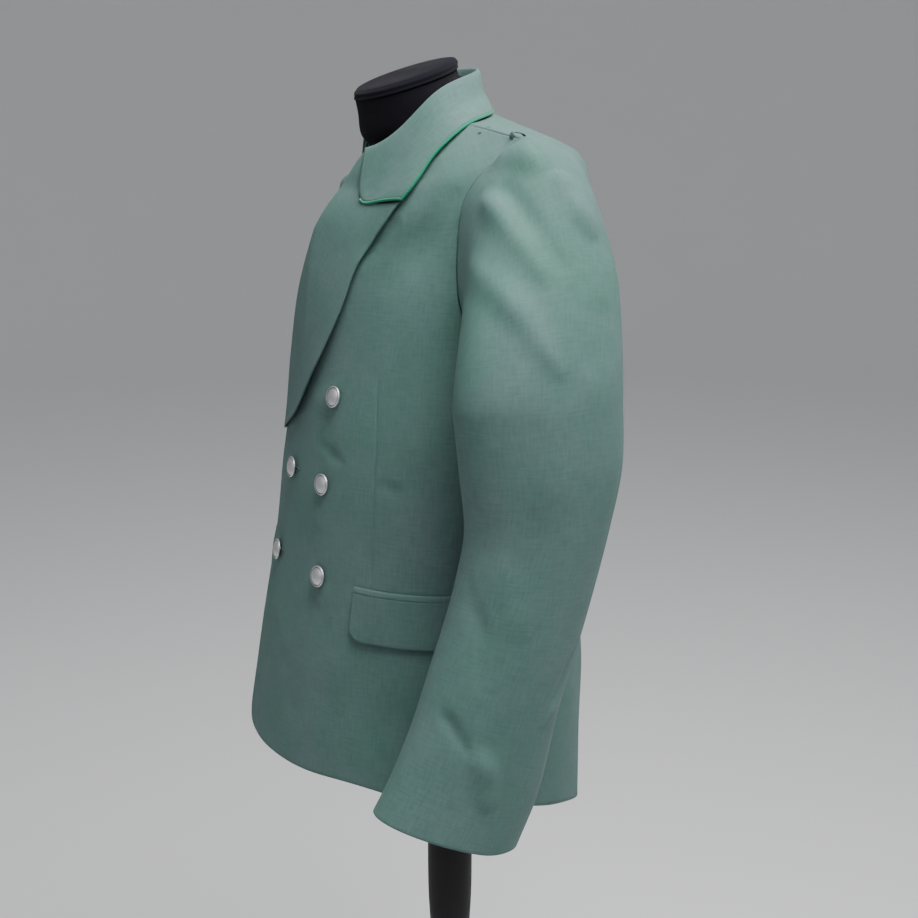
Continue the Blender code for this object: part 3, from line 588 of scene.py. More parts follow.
def shell(node, outer, inner, middle, side=1):
    """A sheet of tunic cloth between two grids of points, with a rounded rim.

    It stands for a node, and its cut is square to the grain at its middle column.
    """
    outer, inner = outer * [side, 1, 1], inner * [side, 1, 1]
    rows, columns = outer.shape[:2]
    number = np.arange(rows * columns).reshape(rows, columns)
    a, b = number[:-1, :-1], number[:-1, 1:]
    c, d = number[1:, 1:], number[1:, :-1]
    size = rows * columns
    faces = [np.stack([a, b, c, d], axis=-1).reshape(-1, 4),
             np.stack([a, d, c, b], axis=-1).reshape(-1, 4) + size]
    rim = np.concatenate([number[0, :-1], number[:-1, -1], number[-1, :0:-1],
                          number[:0:-1, 0]])
    inward = np.clip(rim // columns, 1, rows - 2) * columns \
        + np.clip(rim % columns, 1, columns - 2)
    flat_outer, flat_inner = outer.reshape(-1, 3), inner.reshape(-1, 3)
    centre = (flat_outer + flat_inner) / 2
    push = centre[rim] - centre[inward]
    push /= np.linalg.norm(push, axis=1, keepdims=True)
    thick = np.linalg.norm(flat_outer[rim] - flat_inner[rim], axis=1, keepdims=True)
    edge = centre[rim] + push * thick * RIM_ROUND
    last = 2 * size + np.arange(len(rim))
    after, last_after = np.roll(rim, -1), np.roll(last, -1)
    faces += [np.stack([after, rim, last, last_after], axis=-1),
              np.stack([last_after, last, rim + size, after + size], axis=-1)]
    flat = flat_of(outer, middle).reshape(-1, 2)
    return add_piece(f"cloth_{node}", np.concatenate([flat_outer, flat_inner, edge]),
                     np.concatenate(faces).tolist(), np.concatenate([flat, flat, flat[rim]]),
                     tunic_cloth, node)


def twill():
    """Fine wool twill: diagonal wales, uneven yarns both ways, fibres and soft colour changes."""
    made, shader, flat, place = new_material(
        "tunic_cloth", sheen_weight=0.09, sheen_roughness=0.42, sheen_tint=(0.80, 0.92, 1.0, 1),
        specular_ior_level=0.28)
    wave = place.noise(5.5, 3.0, 0.55)
    blotch = place.noise(19.0, 4.0, 0.6)
    weft = flat.stretched(55.0, 430.0).noise(1.0, 2.0)
    warp = flat.stretched(430.0, 60.0).noise(1.0, 2.0)
    wale = ((flat.part(0) + flat.part(1) + 0.00012 * warp) * (2 * math.pi / WEAVE_PITCH)
            ).math("SINE")
    fibre = flat.noise(2600.0, 2.0)
    tone = (2.6 * (0.65 * wave + 0.35 * blotch - 0.5) + 0.5).clamped()
    yarn = 0.5 * weft + 0.5 * warp
    level = 0.52 + 0.70 * yarn + 0.08 * wale + 0.22 * fibre + 0.14 * (blotch - 0.5)
    colour = tone.between(CLOTH_GREEN, CLOTH_GREY).shaded(level)
    slub = ((weft - 0.68) * 5.0).clamped()
    colour = (0.35 * slub).between(colour, CLOTH_SLUB)
    finish_with(shader, colour, 0.70 + 0.16 * yarn + 0.05 * wale,
                0.45 * wale + 1.1 * yarn + 0.5 * fibre, 0.00016)
    return made


tunic_cloth = twill()


def tall_rows(count_low, count_arm, count_high):
    """Rows for the panels, close together at the armhole's two ends."""
    middle, reach = (ARM_LOW + ARM_HIGH) / 2, (ARM_HIGH - ARM_LOW) / 2
    beside = middle - reach * np.cos(np.linspace(0, math.pi, count_arm))
    return np.concatenate([np.linspace(0, ARM_LOW, count_low)[:-1], beside,
                           np.linspace(ARM_HIGH, NECK_ROW, count_high)[1:]])


panel_rows = tall_rows(90, 70, 30)


def knotted(knots, counts):
    """Columns between lists of turns, a list for each row, with counts of steps."""
    pieces = [knots[k][:, None] + (knots[k + 1] - knots[k])[:, None]
              * np.arange(count) / count for k, count in enumerate(counts)]
    return np.concatenate(pieces + [knots[-1][:, None]], axis=1)


def front_grid(side):
    """Turns and rows of a front, with columns that follow its dart, and its corner."""
    rows = panel_rows
    start, end = front_edge_turn(rows, side), SIDE_TURN - armhole_half(rows, ARM_FRONT)
    start, end = start + SEAM_TRIM, end - SEAM_TRIM
    dart = np.maximum(curve_through(DART_TURNS, rows), start + 0.3 * (end - start))
    turns = knotted([start, dart - 2 * DART_HALF, dart - DART_HALF, dart,
                     dart + DART_HALF, dart + 2 * DART_HALF, end], [38, 1, 1, 1, 1, 44])
    grid = np.repeat(rows[:, None], turns.shape[1], axis=1)
    bottom = body_plain(turns[0], 0.0)
    near = np.clip(HEM_CORNER - np.abs(bottom[:, 0] - bottom[0, 0]), 0, HEM_CORNER)
    rise = HEM_CORNER - np.sqrt(HEM_CORNER ** 2 - near ** 2)
    lift = rise / (body_plain(turns[0], CORNER_ROW)[:, 2] - bottom[:, 2]) * CORNER_ROW
    low = np.clip(lift, 0, 0.8 * CORNER_ROW)
    grid = np.where(grid < CORNER_ROW, low + (CORNER_ROW - low) * grid / CORNER_ROW, grid)
    return turns, grid


def front_out(turns, rows, side):
    """How far a front's outer face lies off the body's surface, creases and dart in it."""
    base = body_plain(turns, rows, side)
    out = crease(base, FOLDS_OF[side])
    away = (turns - curve_through(DART_TURNS, rows)) / DART_HALF
    fade = np.clip((DART_HIGH - rows) * 2.5, 0, 1) * np.clip((rows - DART_LOW) * 12, 0, 1)
    out -= DART_DEEP * fade * (0.75 * np.exp(-(away / 0.7) ** 2)
                               + 0.6 * np.exp(-(away / 6.0) ** 2))
    if side < 0:
        out -= under_lap(base[..., 0])
    return out


def back_out(turns, rows):
    """The same for a back, whose middle seam draws in a little."""
    base = body_plain(turns, rows)
    seam = np.exp(-((0.5 - turns) * 1.1 / 0.004) ** 2)
    return crease(base, BACK_FOLDS) - 0.0008 * seam


for side, word in ((1, "left"), (-1, "right")):
    turns, rows = front_grid(side)
    out = front_out(turns, rows, side)
    piece = shell(f"front_{word}", body(turns, rows, out, side),
                  body(turns, rows, out - CLOTH, side), 40, side)
    start = SIDE_TURN + armhole_half(panel_rows, ARM_BACK) + SEAM_TRIM
    turns = knotted([start, np.full(len(panel_rows), 0.5 - SEAM_TRIM)], [56])
    rows = np.repeat(panel_rows[:, None], turns.shape[1], axis=1)
    out = back_out(turns, rows)
    piece = shell(f"back_{word}", body(turns, rows, out), body(turns, rows, out - CLOTH),
                  56, side)


# Lapels: each is the top of its front turned back over the chest along a soft roll, with
# a peak that points up to the collar.  The roll is open, so a dark gap shows below it.

LAPEL_EDGE = [
    # across  height lift: the outer edge, from where it starts to roll to its peak
    (-0.072, 1.124, 0.0010),
    (-0.008, 1.156, 0.0060),
    (0.030, 1.208, 0.0080),
    (0.054, 1.266, 0.0055),
    (0.066, 1.322, 0.0032),
    (0.096, 1.379, 0.0018),
]
GORGE_NOTCHES = {1: (0.043, 1.370), -1: (0.080, 1.384)}
NOTCH_SHARE = 0.45
RIGHT_SHIFT = 0.022
LAPEL_LIFT = 0.0032
GORGE_PIPING = 0.0014
LAPEL_CLEAR = 0.0030
LAPEL_PULL = 0.72
ROLL_STEPS = 9


def mixed(first, second, share):
    return first + (second - first) * share


def lapel_place(up, share, side):
    """Distance to its side, height and lift of points of a lapel: share 0 is its roll."""
    edge = curve_through(LAPEL_EDGE, up * (len(LAPEL_EDGE) - 1))
    edge[..., 0] += (RIGHT_SHIFT * up) if side < 0 else 0.0
    peak = np.array(LAPEL_EDGE[-1][:2]) + [RIGHT_SHIFT if side < 0 else 0.0, 0.0]
    roll_top, notch = np.array(ROLL_TOPS[side]), np.array(GORGE_NOTCHES[side])
    low = BREAK_HEIGHT + 0.004
    height = low + (roll_top[1] - 0.004 - low) * up
    plain_across = mixed(roll_across(height, side), edge[..., 0], share)
    plain_height = mixed(height, edge[..., 1], share)
    first = mixed(roll_top, notch, (share / NOTCH_SHARE)[..., None])
    second = mixed(notch, peak, ((share - NOTCH_SHARE) / (1 - NOTCH_SHARE))[..., None])
    gorge = np.where(share[..., None] < NOTCH_SHARE, first, second)
    pull = np.clip((up - LAPEL_PULL) / (1 - LAPEL_PULL), 0, None) ** 2
    across = mixed(plain_across, gorge[..., 0], pull)
    level = mixed(plain_height, gorge[..., 1], pull) - 0.0012
    level -= GORGE_PIPING * pull * np.clip(share / 0.4, 0, 1)
    if side < 0:
        across = np.maximum(across, LAPEL_CLEAR - roll_across(level))
    rolled = LAPEL_LIFT * (1 - share) ** 2 * np.sin(math.pi * (0.1 + 0.8 * up))
    lift = LAY_GAP + rolled + edge[..., 2] * share ** 2
    if side < 0:
        lift -= 0.8 * under_lap(across)
    return across, level, lift


def lapel_surface(up, share, side, extra):
    """Points of a lapel, whose roll (share below 0) curls under to the front's edge."""
    curl = np.clip(-share, 0, 1) * math.pi
    across, level, lift = lapel_place(up, np.clip(share, 0, 1), side)
    top, bottom = lift + CLOTH, -CLOTH
    radius = (top - bottom) / 2
    slope = np.array([ROLL_TOPS[side][0] + LAP, ROLL_TOPS[side][1] - BREAK_HEIGHT])
    slope /= np.linalg.norm(slope)
    reach = np.maximum(radius + extra, 0.0003) * np.sin(curl)
    out = np.where(share < 0, (top + bottom) / 2 + (radius + extra) * np.cos(curl),
                   top + extra)
    turn, row = front_place(across - slope[1] * reach, level + slope[0] * reach)
    base = body_plain(turn, row, side)
    calm = crease(base, FOLDS_OF[side]) * (0.6 if side > 0 else 1)
    return body(turn, row, out + calm, side)


for word, side, first in (("left", 1, 0.0), ("right", -1, 0.36)):
    ups = np.linspace(first, 1, 72)
    shares = np.concatenate([np.linspace(-1, 0, ROLL_STEPS)[:-1], np.linspace(0, 1, 46)])
    up, share = np.meshgrid(ups, shares, indexing="ij")
    piece = shell(f"lapel_{word}", lapel_surface(up, share, side, 0.0),
                  lapel_surface(up, share, side, -CLOTH), ROLL_STEPS, side)


# Collar: a stand that rises from the neck seam, a soft roll, and a fall turned down over
# the shoulders.  A cord of emerald cloth is let into its edge and ends.

COLLAR_BACK = [
    # turn stand  out    mid_turn mid_row mid_lift edge_turn edge_row
    (0.340, 0.030, 0.005, 0.335, 12.65, 0.016, 0.325, 12.22),
    (0.420, 0.031, 0.006, 0.420, 12.78, 0.017, 0.420, 12.42),
    (0.500, 0.031, 0.006, 0.500, 12.82, 0.017, 0.500, 12.50),
]
COLLAR_FRONTS = {
    1: [
        (0.070, 0.002, 0.004, 0.036, 9.12, 0.003, 0.081, 9.20),
        (0.100, 0.002, 0.004, 0.089, 11.60, 0.003, 0.101, 10.20),
        (0.150, 0.008, 0.004, 0.150, 12.15, 0.007, 0.145, 11.38),
        (0.200, 0.019, 0.004, 0.200, 12.35, 0.011, 0.190, 11.77),
        (0.260, 0.027, 0.005, 0.250, 12.48, 0.014, 0.242, 11.99),
    ],
    -1: [
        (0.168, 0.005, 0.002, 0.088, 10.30, 0.003, 0.112, 9.30),
        (0.185, 0.014, 0.002, 0.140, 11.80, 0.004, 0.134, 10.30),
        (0.205, 0.022, 0.003, 0.180, 12.15, 0.008, 0.166, 11.35),
        (0.235, 0.027, 0.004, 0.222, 12.35, 0.012, 0.210, 11.70),
        (0.280, 0.029, 0.005, 0.268, 12.48, 0.015, 0.258, 11.93),
    ],
}
COLLAR_FOOT = 0.0016
FALL_LIFT = 0.0056
PIPING = 0.0030
PIPING_TWIST = 0.0021


def smoothed(points, axis, rounds, share=1.0):
    """Points evened out along one axis of their grid, whose ends stay where they are."""
    points = np.moveaxis(np.array(points), axis, 0)
    share = np.moveaxis(np.broadcast_to(share, np.moveaxis(points, 0, axis).shape), axis, 0)
    for _ in range(rounds):
        mean = (points[:-2] + 2 * points[1:-1] + points[2:]) / 4
        points[1:-1] += (mean - points[1:-1]) * share[1:-1]
    return np.moveaxis(points, 0, axis)


def collar_section(place, side):
    """Centre line of the collar's cloth at one place: foot, stand, roll, fall, edge."""
    (turn, stand, lean, mid_turn, mid_row, mid_lift, edge_turn,
     edge_row) = curve_through(COLLAR_FRONTS[side] + COLLAR_BACK, place)
    seam = body(turn, NECK_ROW, 0.0, side)
    away = body(turn, NECK_ROW, 1.0, side) - seam
    away[2] = 0
    away /= np.linalg.norm(away)
    up = np.array([0.0, 0.0, 1.0])
    foot = seam + up * COLLAR_FOOT
    top = seam + up * (stand + COLLAR_FOOT) + away * lean
    middle = body(mid_turn, mid_row, mid_lift, side)
    edge = body(edge_turn, edge_row, FALL_LIFT, side)
    crest = top + up * 0.0016 + away * 0.0020
    shoulder = top * 0.72 + middle * 0.28 + away * 0.0024 + up * 0.0012
    low = middle * 0.5 + edge * 0.5 + up * 0.0012
    return np.array([foot, foot * 0.5 + top * 0.5, top, crest, shoulder, middle, low, edge])


def unit(vectors):
    return vectors / np.maximum(np.linalg.norm(vectors, axis=-1, keepdims=True), 1e-12)


def tube(name, path, radius, sides, finish, node):
    """A round cord along a list of points."""
    heading = unit(np.gradient(path, axis=0))
    across = unit(np.cross(heading, [0.0, 0.0, 1.0]))
    over = np.cross(across, heading)
    angles = 2 * math.pi * np.arange(sides) / sides
    rings = path[:, None] + radius * (across[:, None] * np.cos(angles)[:, None]
                                      + over[:, None] * np.sin(angles)[:, None])
    return skin(name, rings, finish, node)


def piping_cloth():
    """Emerald wool over a cord: slanting ribs where it is wound, and a soft nap."""
    made, shader, flat, place = new_material(
        "collar_piping", sheen_weight=0.35, sheen_roughness=0.4, specular_ior_level=0.2)
    ribs = ((flat.part(1) + 0.55 * flat.part(0)) * (2 * math.pi / PIPING_TWIST)).math("SINE")
    nap = place.noise(900.0, 3.0, 0.7)
    colour = (0.45 * nap + 0.25 * ribs + 0.2).clamped().between((0.0, 0.115, 0.055, 1),
                                                                (0.004, 0.300, 0.165, 1))
    finish_with(shader, colour, 0.70 + 0.2 * nap, 0.8 * ribs + nap, 0.00022)
    return made


COLLAR_ALONG, COLLAR_DOWN = 91, 50
COLLAR_SMOOTH = 70
collar_last = len(COLLAR_BACK) + len(COLLAR_FRONTS[1]) - 1
collar_lines = [collar_section(place, 1) for place in np.linspace(0, collar_last, COLLAR_ALONG)]
collar_lines += [collar_section(place, -1) * [-1, 1, 1]
                 for place in np.linspace(collar_last, 0, COLLAR_ALONG)[1:]]
collar_points = curve_through(np.swapaxes(collar_lines, 0, 1),
                              np.linspace(0, 7, COLLAR_DOWN)).swapaxes(0, 1)
collar_points = smoothed(smoothed(collar_points, 0, COLLAR_SMOOTH), 1, 12)
collar_along = np.gradient(collar_points, axis=0)
collar_normal = unit(np.cross(collar_along, np.gradient(collar_points, axis=1)))
collar_piece = shell("collar", collar_points - collar_normal * CLOTH / 2,
                     collar_points + collar_normal * CLOTH / 2, COLLAR_DOWN // 2)

collar_down = np.gradient(collar_points, axis=1)
rim = unit(collar_along[:, -1])
fall = collar_down[:, -1] - rim * np.sum(collar_down[:, -1] * rim, axis=1, keepdims=True)
fall = unit(fall)
clear = PIPING / 2 + 0.0002
piping_ends = []
for k, ahead in ((0, -1), (-1, 1)):
    line = unit(collar_down[k])
    heading = ahead * collar_along[k]
    heading = unit(heading - line * np.sum(heading * line, axis=1, keepdims=True))
    piping_end = (collar_points[k] + heading * clear * 0.7)[int(COLLAR_DOWN * 5 / 7):]
    piping_end[-1] += fall[k] * clear
    piping_ends.append(piping_end)
piping_path = np.concatenate([piping_ends[0], (collar_points[:, -1] + fall * clear)[1:-1],
                              piping_ends[1][::-1]])
tube("piping", piping_path, PIPING / 2, 14, piping_cloth(), "collar_piping")


# Sleeves: a top piece and an under piece each, eased into the armhole over a full cap.
# They hang bent at the elbow, so soft hollows lie under the cap and drag lines at the bend.

SLEEVE_ROWS = [
    # height  middle_x middle_y thick  wide   front_up back (the right one hangs farther back)
    (1.200, 0.265, -0.034, 0.050, 0.086, 0.000, 0.044),
    (1.137, 0.265, -0.030, 0.050, 0.083, 0.000, 0.040),
    (1.080, 0.264, -0.033, 0.048, 0.074, 0.003, 0.036),
    (1.030, 0.264, -0.0445, 0.046, 0.0705, 0.010, 0.041),
    (0.980, 0.265, -0.060, 0.045, 0.068, 0.018, 0.050),
    (0.925, 0.267, -0.080, 0.044, 0.067, 0.024, 0.062),
    (0.875, 0.269, -0.096, 0.043, 0.069, 0.028, 0.072),
    (0.825, 0.271, -0.115, 0.043, 0.073, 0.031, 0.083),
    (0.790, 0.272, -0.134, 0.044, 0.0735, 0.033, 0.092),
]
CAP_BULGE = 0.75
HEAD_ROLL, HEAD_REACH = 0.0010, 0.020
CAP_SMOOTH = 40
TUCK_DEEP = 0.0032
TOP_SPAN = (math.radians(-118), math.radians(122))
SLEEVE_SEAM = 0.0020
SLEEVE_FOLDS = [
    (0.019, -0.0085, (0.168, -0.030, 1.420), (0.200, -0.014, 1.420), (0.228, -0.004, 1.413)),
    (0.018, -0.0080, (0.228, 0.002, 1.412), (0.246, 0.012, 1.390), (0.262, 0.027, 1.350)),
    (0.013, -0.0075, (0.190, -0.058, 1.392), (0.232, -0.056, 1.370), (0.282, -0.037, 1.312)),
    (0.013, -0.0064, (0.214, -0.082, 1.336), (0.283, -0.067, 1.289), (0.311, -0.036, 1.232)),
    (0.013, 0.0048, (0.205, -0.046, 1.400), (0.250, -0.036, 1.362), (0.284, -0.015, 1.320)),
    (0.010, 0.0024, (0.200, -0.080, 1.312), (0.281, -0.084, 1.276)),
    (0.010, 0.0022, (0.252, -0.111, 1.132), (0.284, -0.104, 1.104)),
    (0.007, 0.0056, (0.262, -0.140, 0.938), (0.290, -0.140, 0.915), (0.309, -0.126, 0.880)),
    (0.013, -0.0050, (0.305, -0.122, 0.892), (0.312, -0.112, 0.860), (0.313, -0.112, 0.825)),
    (0.010, 0.0026, (0.265, -0.112, 1.055), (0.295, -0.109, 0.997), (0.303, -0.116, 0.940)),
    (0.005, 0.0028, (0.302, -0.040, 0.916), (0.289, -0.004, 0.973)),
    (0.006, -0.0024, (0.306, -0.052, 0.892), (0.292, -0.022, 0.920)),
    (0.018, 0.0020, (0.283, 0.019, 1.297), (0.307, -0.005, 1.228)),
    (0.020, -0.0022, (0.314, -0.035, 1.210), (0.311, -0.057, 1.090)),
    (0.016, -0.0020, (0.296, -0.090, 1.070), (0.309, -0.075, 0.985)),
]


def armhole_point(angle, shrink, out):
    """A point on the armhole: angle 0 at the shoulder and a quarter turn at its front."""
    middle, reach = (ARM_LOW + ARM_HIGH) / 2, (ARM_HIGH - ARM_LOW) / 2
    width = np.where(np.sin(angle) > 0, ARM_FRONT, ARM_BACK)
    aside, upward = (np.sign(wave) * np.abs(wave) ** (2 / ARM_SQUARE)
                     for wave in (np.sin(angle), np.cos(angle)))
    return body(SIDE_TURN - width * shrink * aside, middle + reach * shrink * upward, out)


def sleeve_plain(angle, place, side):
    """The sleeve's surface: place 0 to 1 is the cap, then it counts the rows."""
    angle, place = np.broadcast_arrays(np.asarray(angle, float), np.asarray(place, float))
    height, mid_x, mid_y, thick, wide, front_up, farther = np.moveaxis(
        curve_through(SLEEVE_ROWS, np.maximum(place - 1, 0)), -1, 0)
    if side < 0:
        mid_y = mid_y + farther
    lower = np.stack([mid_x + thick * np.cos(angle), mid_y - wide * np.sin(angle),
                      height + front_up * np.sin(angle)], axis=-1)
    start = armhole_point(angle, SLEEVE_HEAD, 0.0)
    part = np.clip(place, 0, 1)[..., None]
    length = np.linalg.norm(lower - start, axis=-1, keepdims=True) * CAP_BULGE
    leave = np.array([1.0, 0.0, 0.10]) * length
    arrive = np.array([0.0, 0.0, -1.0]) * length
    cap = ((2 * part ** 3 - 3 * part ** 2 + 1) * start
           + (part ** 3 - 2 * part ** 2 + part) * leave
           + (3 * part ** 2 - 2 * part ** 3) * lower + (part ** 3 - part ** 2) * arrive)
    return np.where(place[..., None] < 1, cap, lower)


def sleeve(angle, place, out, side):
    """A sleeve's grid with its creases and the roll of its head, moved out.

    Rows of a place below 0 are the seam allowance, tucked in under the front and back.
    """
    base = sleeve_plain(angle, np.maximum(place, 0), side)
    shift = sleeve_plain(angle, np.maximum(place, 0), 1) if side < 0 else base
    base = smoothed(base, 1, CAP_SMOOTH, np.clip(place * 6, 0, 1)[..., None])
    normal = unit(np.cross(np.gradient(base, axis=0), np.gradient(base, axis=1)))
    out = out + crease(shift, SLEEVE_FOLDS) * np.clip(place * 20, 0, 1) \
        + HEAD_ROLL * np.exp(-(place / HEAD_REACH) ** 2)
    tuck = np.maximum(-place, 0)
    under = armhole_point(angle, SLEEVE_HEAD + tuck, out - TUCK_DEEP * (tuck > 0))
    return np.where(place[..., None] < 0, under, base + normal * out[..., None])


sleeve_places = np.concatenate([[-0.06, -0.03, -0.01], np.linspace(0, 1, 76)[:-1],
                                np.linspace(1, 9, 110)])
for word, span, count in (("top", TOP_SPAN, 92),
                          ("under", (TOP_SPAN[1], TOP_SPAN[0] + 2 * math.pi), 46)):
    angles = np.linspace(span[0] + SLEEVE_SEAM, span[1] - SLEEVE_SEAM, count)
    place, angle = np.meshgrid(sleeve_places, angles, indexing="ij")
    for side, which in ((1, "left"), (-1, "right")):
        piece = shell(f"sleeve_{which}_{word}", sleeve(angle, place, 0.0, side),
                      sleeve(angle, place, -CLOTH, side), count // 2, side)


# Pockets: a flap with rounded lower corners hangs from under a narrow welt on each side.
# Both are doubled cloth, so the flap stands a little off the front and its edge is full.

POCKET_START, POCKET_END = 0.104, 0.236
POCKET_TOP = 0.997
WELT_HIGH, WELT_THICK = 0.0055, 0.0016
FLAP_HIGH, FLAP_THICK = 0.047, 0.0024
FLAP_CORNER = 0.014
pocket_turns = np.linspace(POCKET_START, POCKET_END, 75)
pocket_line = body_plain(pocket_turns, row_for(POCKET_TOP, POCKET_START))
pocket_run = np.concatenate([[0], np.cumsum(np.linalg.norm(np.diff(pocket_line, axis=0),
                                                           axis=1))])


def pocket_points(down, turns, run, top, high, corner, out, side):
    """Points of a welt or flap: down is 0 at its top and 1 at its lower edge."""
    inset = np.clip(corner - np.minimum(run, pocket_run[-1] - run), 0, corner)
    cut = corner - np.sqrt(np.clip(corner ** 2 - inset ** 2, 0, None))
    rows = row_for(top - down * (high - cut), turns)
    lift = 2 * LAY_GAP + 0.0010 * down
    calm = crease(body_plain(turns, rows, side), FOLDS_OF[side])
    return body(turns, rows, lift + out + calm, side)


POCKET_PIECES = (
    # name  top                                high       rows thick       corner
    ("welt", POCKET_TOP, WELT_HIGH, 9, WELT_THICK, 0.0),
    ("flap", POCKET_TOP - WELT_HIGH - SEAM_GAP, FLAP_HIGH, 34, FLAP_THICK, FLAP_CORNER),
)
for name, top, high, count, thick, corner in POCKET_PIECES:
    down, turns = np.meshgrid(np.linspace(0, 1, count), pocket_turns, indexing="ij")
    run = np.broadcast_to(pocket_run, turns.shape)
    crown = thick + 0.0005 * np.sin(math.pi * down) ** 0.5
    for side, word in ((1, "left"), (-1, "right")):
        faces = [pocket_points(down, turns, run, top, high, corner, out, side)
                 for out in (crown, 0.0)]
        piece = shell(f"pocket_{name}_{word}", *faces, len(pocket_turns) // 2, side)


# Strap loops: a narrow doubled strip near each shoulder's end, sewn down at its two ends,
# that a shoulder strap slips under.

LOOP_ROW, LOOP_TURN, LOOP_LONG, LOOP_HIGH = 10.45, 0.257, 0.0165, 0.0022
LOOP_HALF, LOOP_THICK = 0.05, 0.0016
loop_share, loop_wide = np.meshgrid(np.linspace(-1, 1, 45), np.linspace(-1, 1, 9),
                                    indexing="ij")
loop_lift = LAY_GAP + LOOP_HIGH * (1 - loop_share ** 4)
loop_spots = (LOOP_TURN + loop_share * LOOP_LONG, LOOP_ROW + loop_wide * LOOP_HALF)
for side, word in ((1, "left"), (-1, "right")):
    piece = shell(f"strap_loop_{word}", body(*loop_spots, loop_lift + LOOP_THICK),
                  body(*loop_spots, loop_lift), 4, side)


# Sewing: the darts, the two working buttonholes, the strap eyelets and the loops' ends are
# sewn in thread of the cloth's colour or darker.  The dark stitches along the darts and in the
# buttonholes' slits and the eyelets' holes are painted shade in these folds and openings.  One
# Geometry Nodes group lays stitches on a path.

HOLE_LONG, HOLE_HALF, HOLE_SHIFT = 0.018, 0.0014, 0.0075
TACK_PLACE = 0.93
EYELET_RADIUS = 0.0016


def stitch_group():
    tree = bpy.data.node_groups.new("Stitches on a path", "GeometryNodeTree")
    sockets = {"Path": "Geometry", "Pitch": "Float", "Length": "Float", "Radius": "Float",
               "Slant": "Float", "Unevenness": "Float", "Seed": "Int",
               "Thread": "Material"}
    for word, kind in sockets.items():
        tree.interface.new_socket(word, in_out="INPUT", socket_type="NodeSocket" + kind)
    tree.interface.new_socket("Stitches", in_out="OUTPUT", socket_type="NodeSocketGeometry")
    given = tree.nodes.new("NodeGroupInput")

    def add(kind, inputs, output=0, **settings):
        made = tree.nodes.new(kind)
        for word, value in settings.items():
            setattr(made, word, value)
        for word, value in inputs.items():
            if isinstance(value, bpy.types.NodeSocket):
                tree.links.new(value, made.inputs[word])
            else:
                made.inputs[word].default_value = value
        return made.outputs[output]

    path = add("GeometryNodeMeshToCurve", {"Mesh": given.outputs["Path"]})
    path = add("GeometryNodeResampleCurve", {"Curve": path, "Length": given.outputs["Pitch"]},
               mode="LENGTH")
    size = add("ShaderNodeCombineXYZ", {"X": given.outputs["Length"],
                                        "Y": given.outputs["Radius"],
                                        "Z": given.outputs["Radius"]})
    bead = add("GeometryNodeMeshUVSphere", {"Segments": 8, "Rings": 7, "Radius": 1.0})
    bead = add("GeometryNodeSetShadeSmooth", {"Geometry": bead})
    bead = add("GeometryNodeTransform", {"Geometry": bead, "Scale": size})
    heading = add("FunctionNodeAlignRotationToVector",
                  {"Vector": add("GeometryNodeInputTangent", {})}, axis="X")
    uneven = given.outputs["Unevenness"]
    wobble = add("FunctionNodeRandomValue",
                 {"Min": add("ShaderNodeMath", {0: uneven, 1: -1.0}, operation="MULTIPLY"),
                  "Max": uneven, "Seed": given.outputs["Seed"]}, 1)
    lean = add("ShaderNodeMath", {0: wobble, 1: given.outputs["Slant"]}, operation="ADD")
    lean = add("FunctionNodeEulerToRotation",
               {"Euler": add("ShaderNodeCombineXYZ", {"Z": lean})})
    heading = add("FunctionNodeRotateRotation", {"Rotation": heading, "Rotate By": lean},
                  rotation_space="LOCAL")
    laid = add("GeometryNodeInstanceOnPoints", {"Points": path, "Instance": bead,
                                                "Rotation": heading})
    laid = add("GeometryNodeRealizeInstances", {"Geometry": laid})
    laid = add("GeometryNodeSetMaterial", {"Geometry": laid,
                                           "Material": given.outputs["Thread"]})
    tree.links.new(laid, tree.nodes.new("NodeGroupOutput").inputs["Stitches"])
    return tree


stitches = stitch_group()


def thread(name, light, dark):
    """Spun sewing thread: two plies wound round each other, with a little fluff."""
    made, shader, _, place = new_material(name, sheen_weight=0.2, specular_ior_level=0.3)
    ply = place.noise(2400.0, 2.0)
    finish_with(shader, ply.between(dark, light), 0.62 + 0.2 * ply, ply, 0.00008)
    return made


cloth_thread = thread("tunic_thread", (0.105, 0.165, 0.150, 1), (0.045, 0.085, 0.078, 1))
# A darker thread: real thread for the loops' tacks, and painted shade along the darts and in the
# buttonholes' slits and the eyelets' holes.
tack_and_shade_thread = thread("tack_thread_and_painted_shade", (0.050, 0.085, 0.080, 1), (0.018, 0.034, 0.032, 1))


def sew(name, path, finish, pitch, length, radius, slant=0.0, uneven=0.12, seed=1):
    """Stitches along a path of points; length is the whole length of one."""
    path = settled(path)
    mesh = bpy.data.meshes.new(name)
    mesh.from_pydata(path.tolist(), [(k, k + 1) for k in range(len(path) - 1)], [])
    piece = linked(name, mesh)
    live = piece.modifiers.new("Stitches", "NODES")
    live.node_group = stitches
    values = {"Pitch": pitch, "Length": length / 2, "Radius": radius, "Slant": slant,
              "Unevenness": uneven, "Seed": seed, "Thread": finish}
    for item in stitches.interface.items_tree:
        if item.in_out == "INPUT" and item.name in values:
            live[item.identifier] = values[item.name]
    seen = piece.evaluated_get(bpy.context.evaluated_depsgraph_get())
    made = bpy.data.meshes.new_from_object(seen)
    piece.modifiers.remove(live)
    piece.data = made
    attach(piece, "root")
    return piece


def on_front(turns, rows, out, side=1):
    return body(turns, rows, front_out(turns, rows, side) + out, side) * [side, 1, 1]


# Dark stitches on the outside along each dart: painted shade in the dart's sewn fold.
for side, word in ((1, "left"), (-1, "right")):
    rows = np.linspace(DART_LOW + 0.05, DART_HIGH - 0.35, 120)
    sew(f"dart_shade_stitches_{word}", on_front(curve_through(DART_TURNS, rows), rows, 0.0, side),
        tack_and_shade_thread, pitch=0.0021, length=0.0016, radius=0.00014, seed=3 + side)

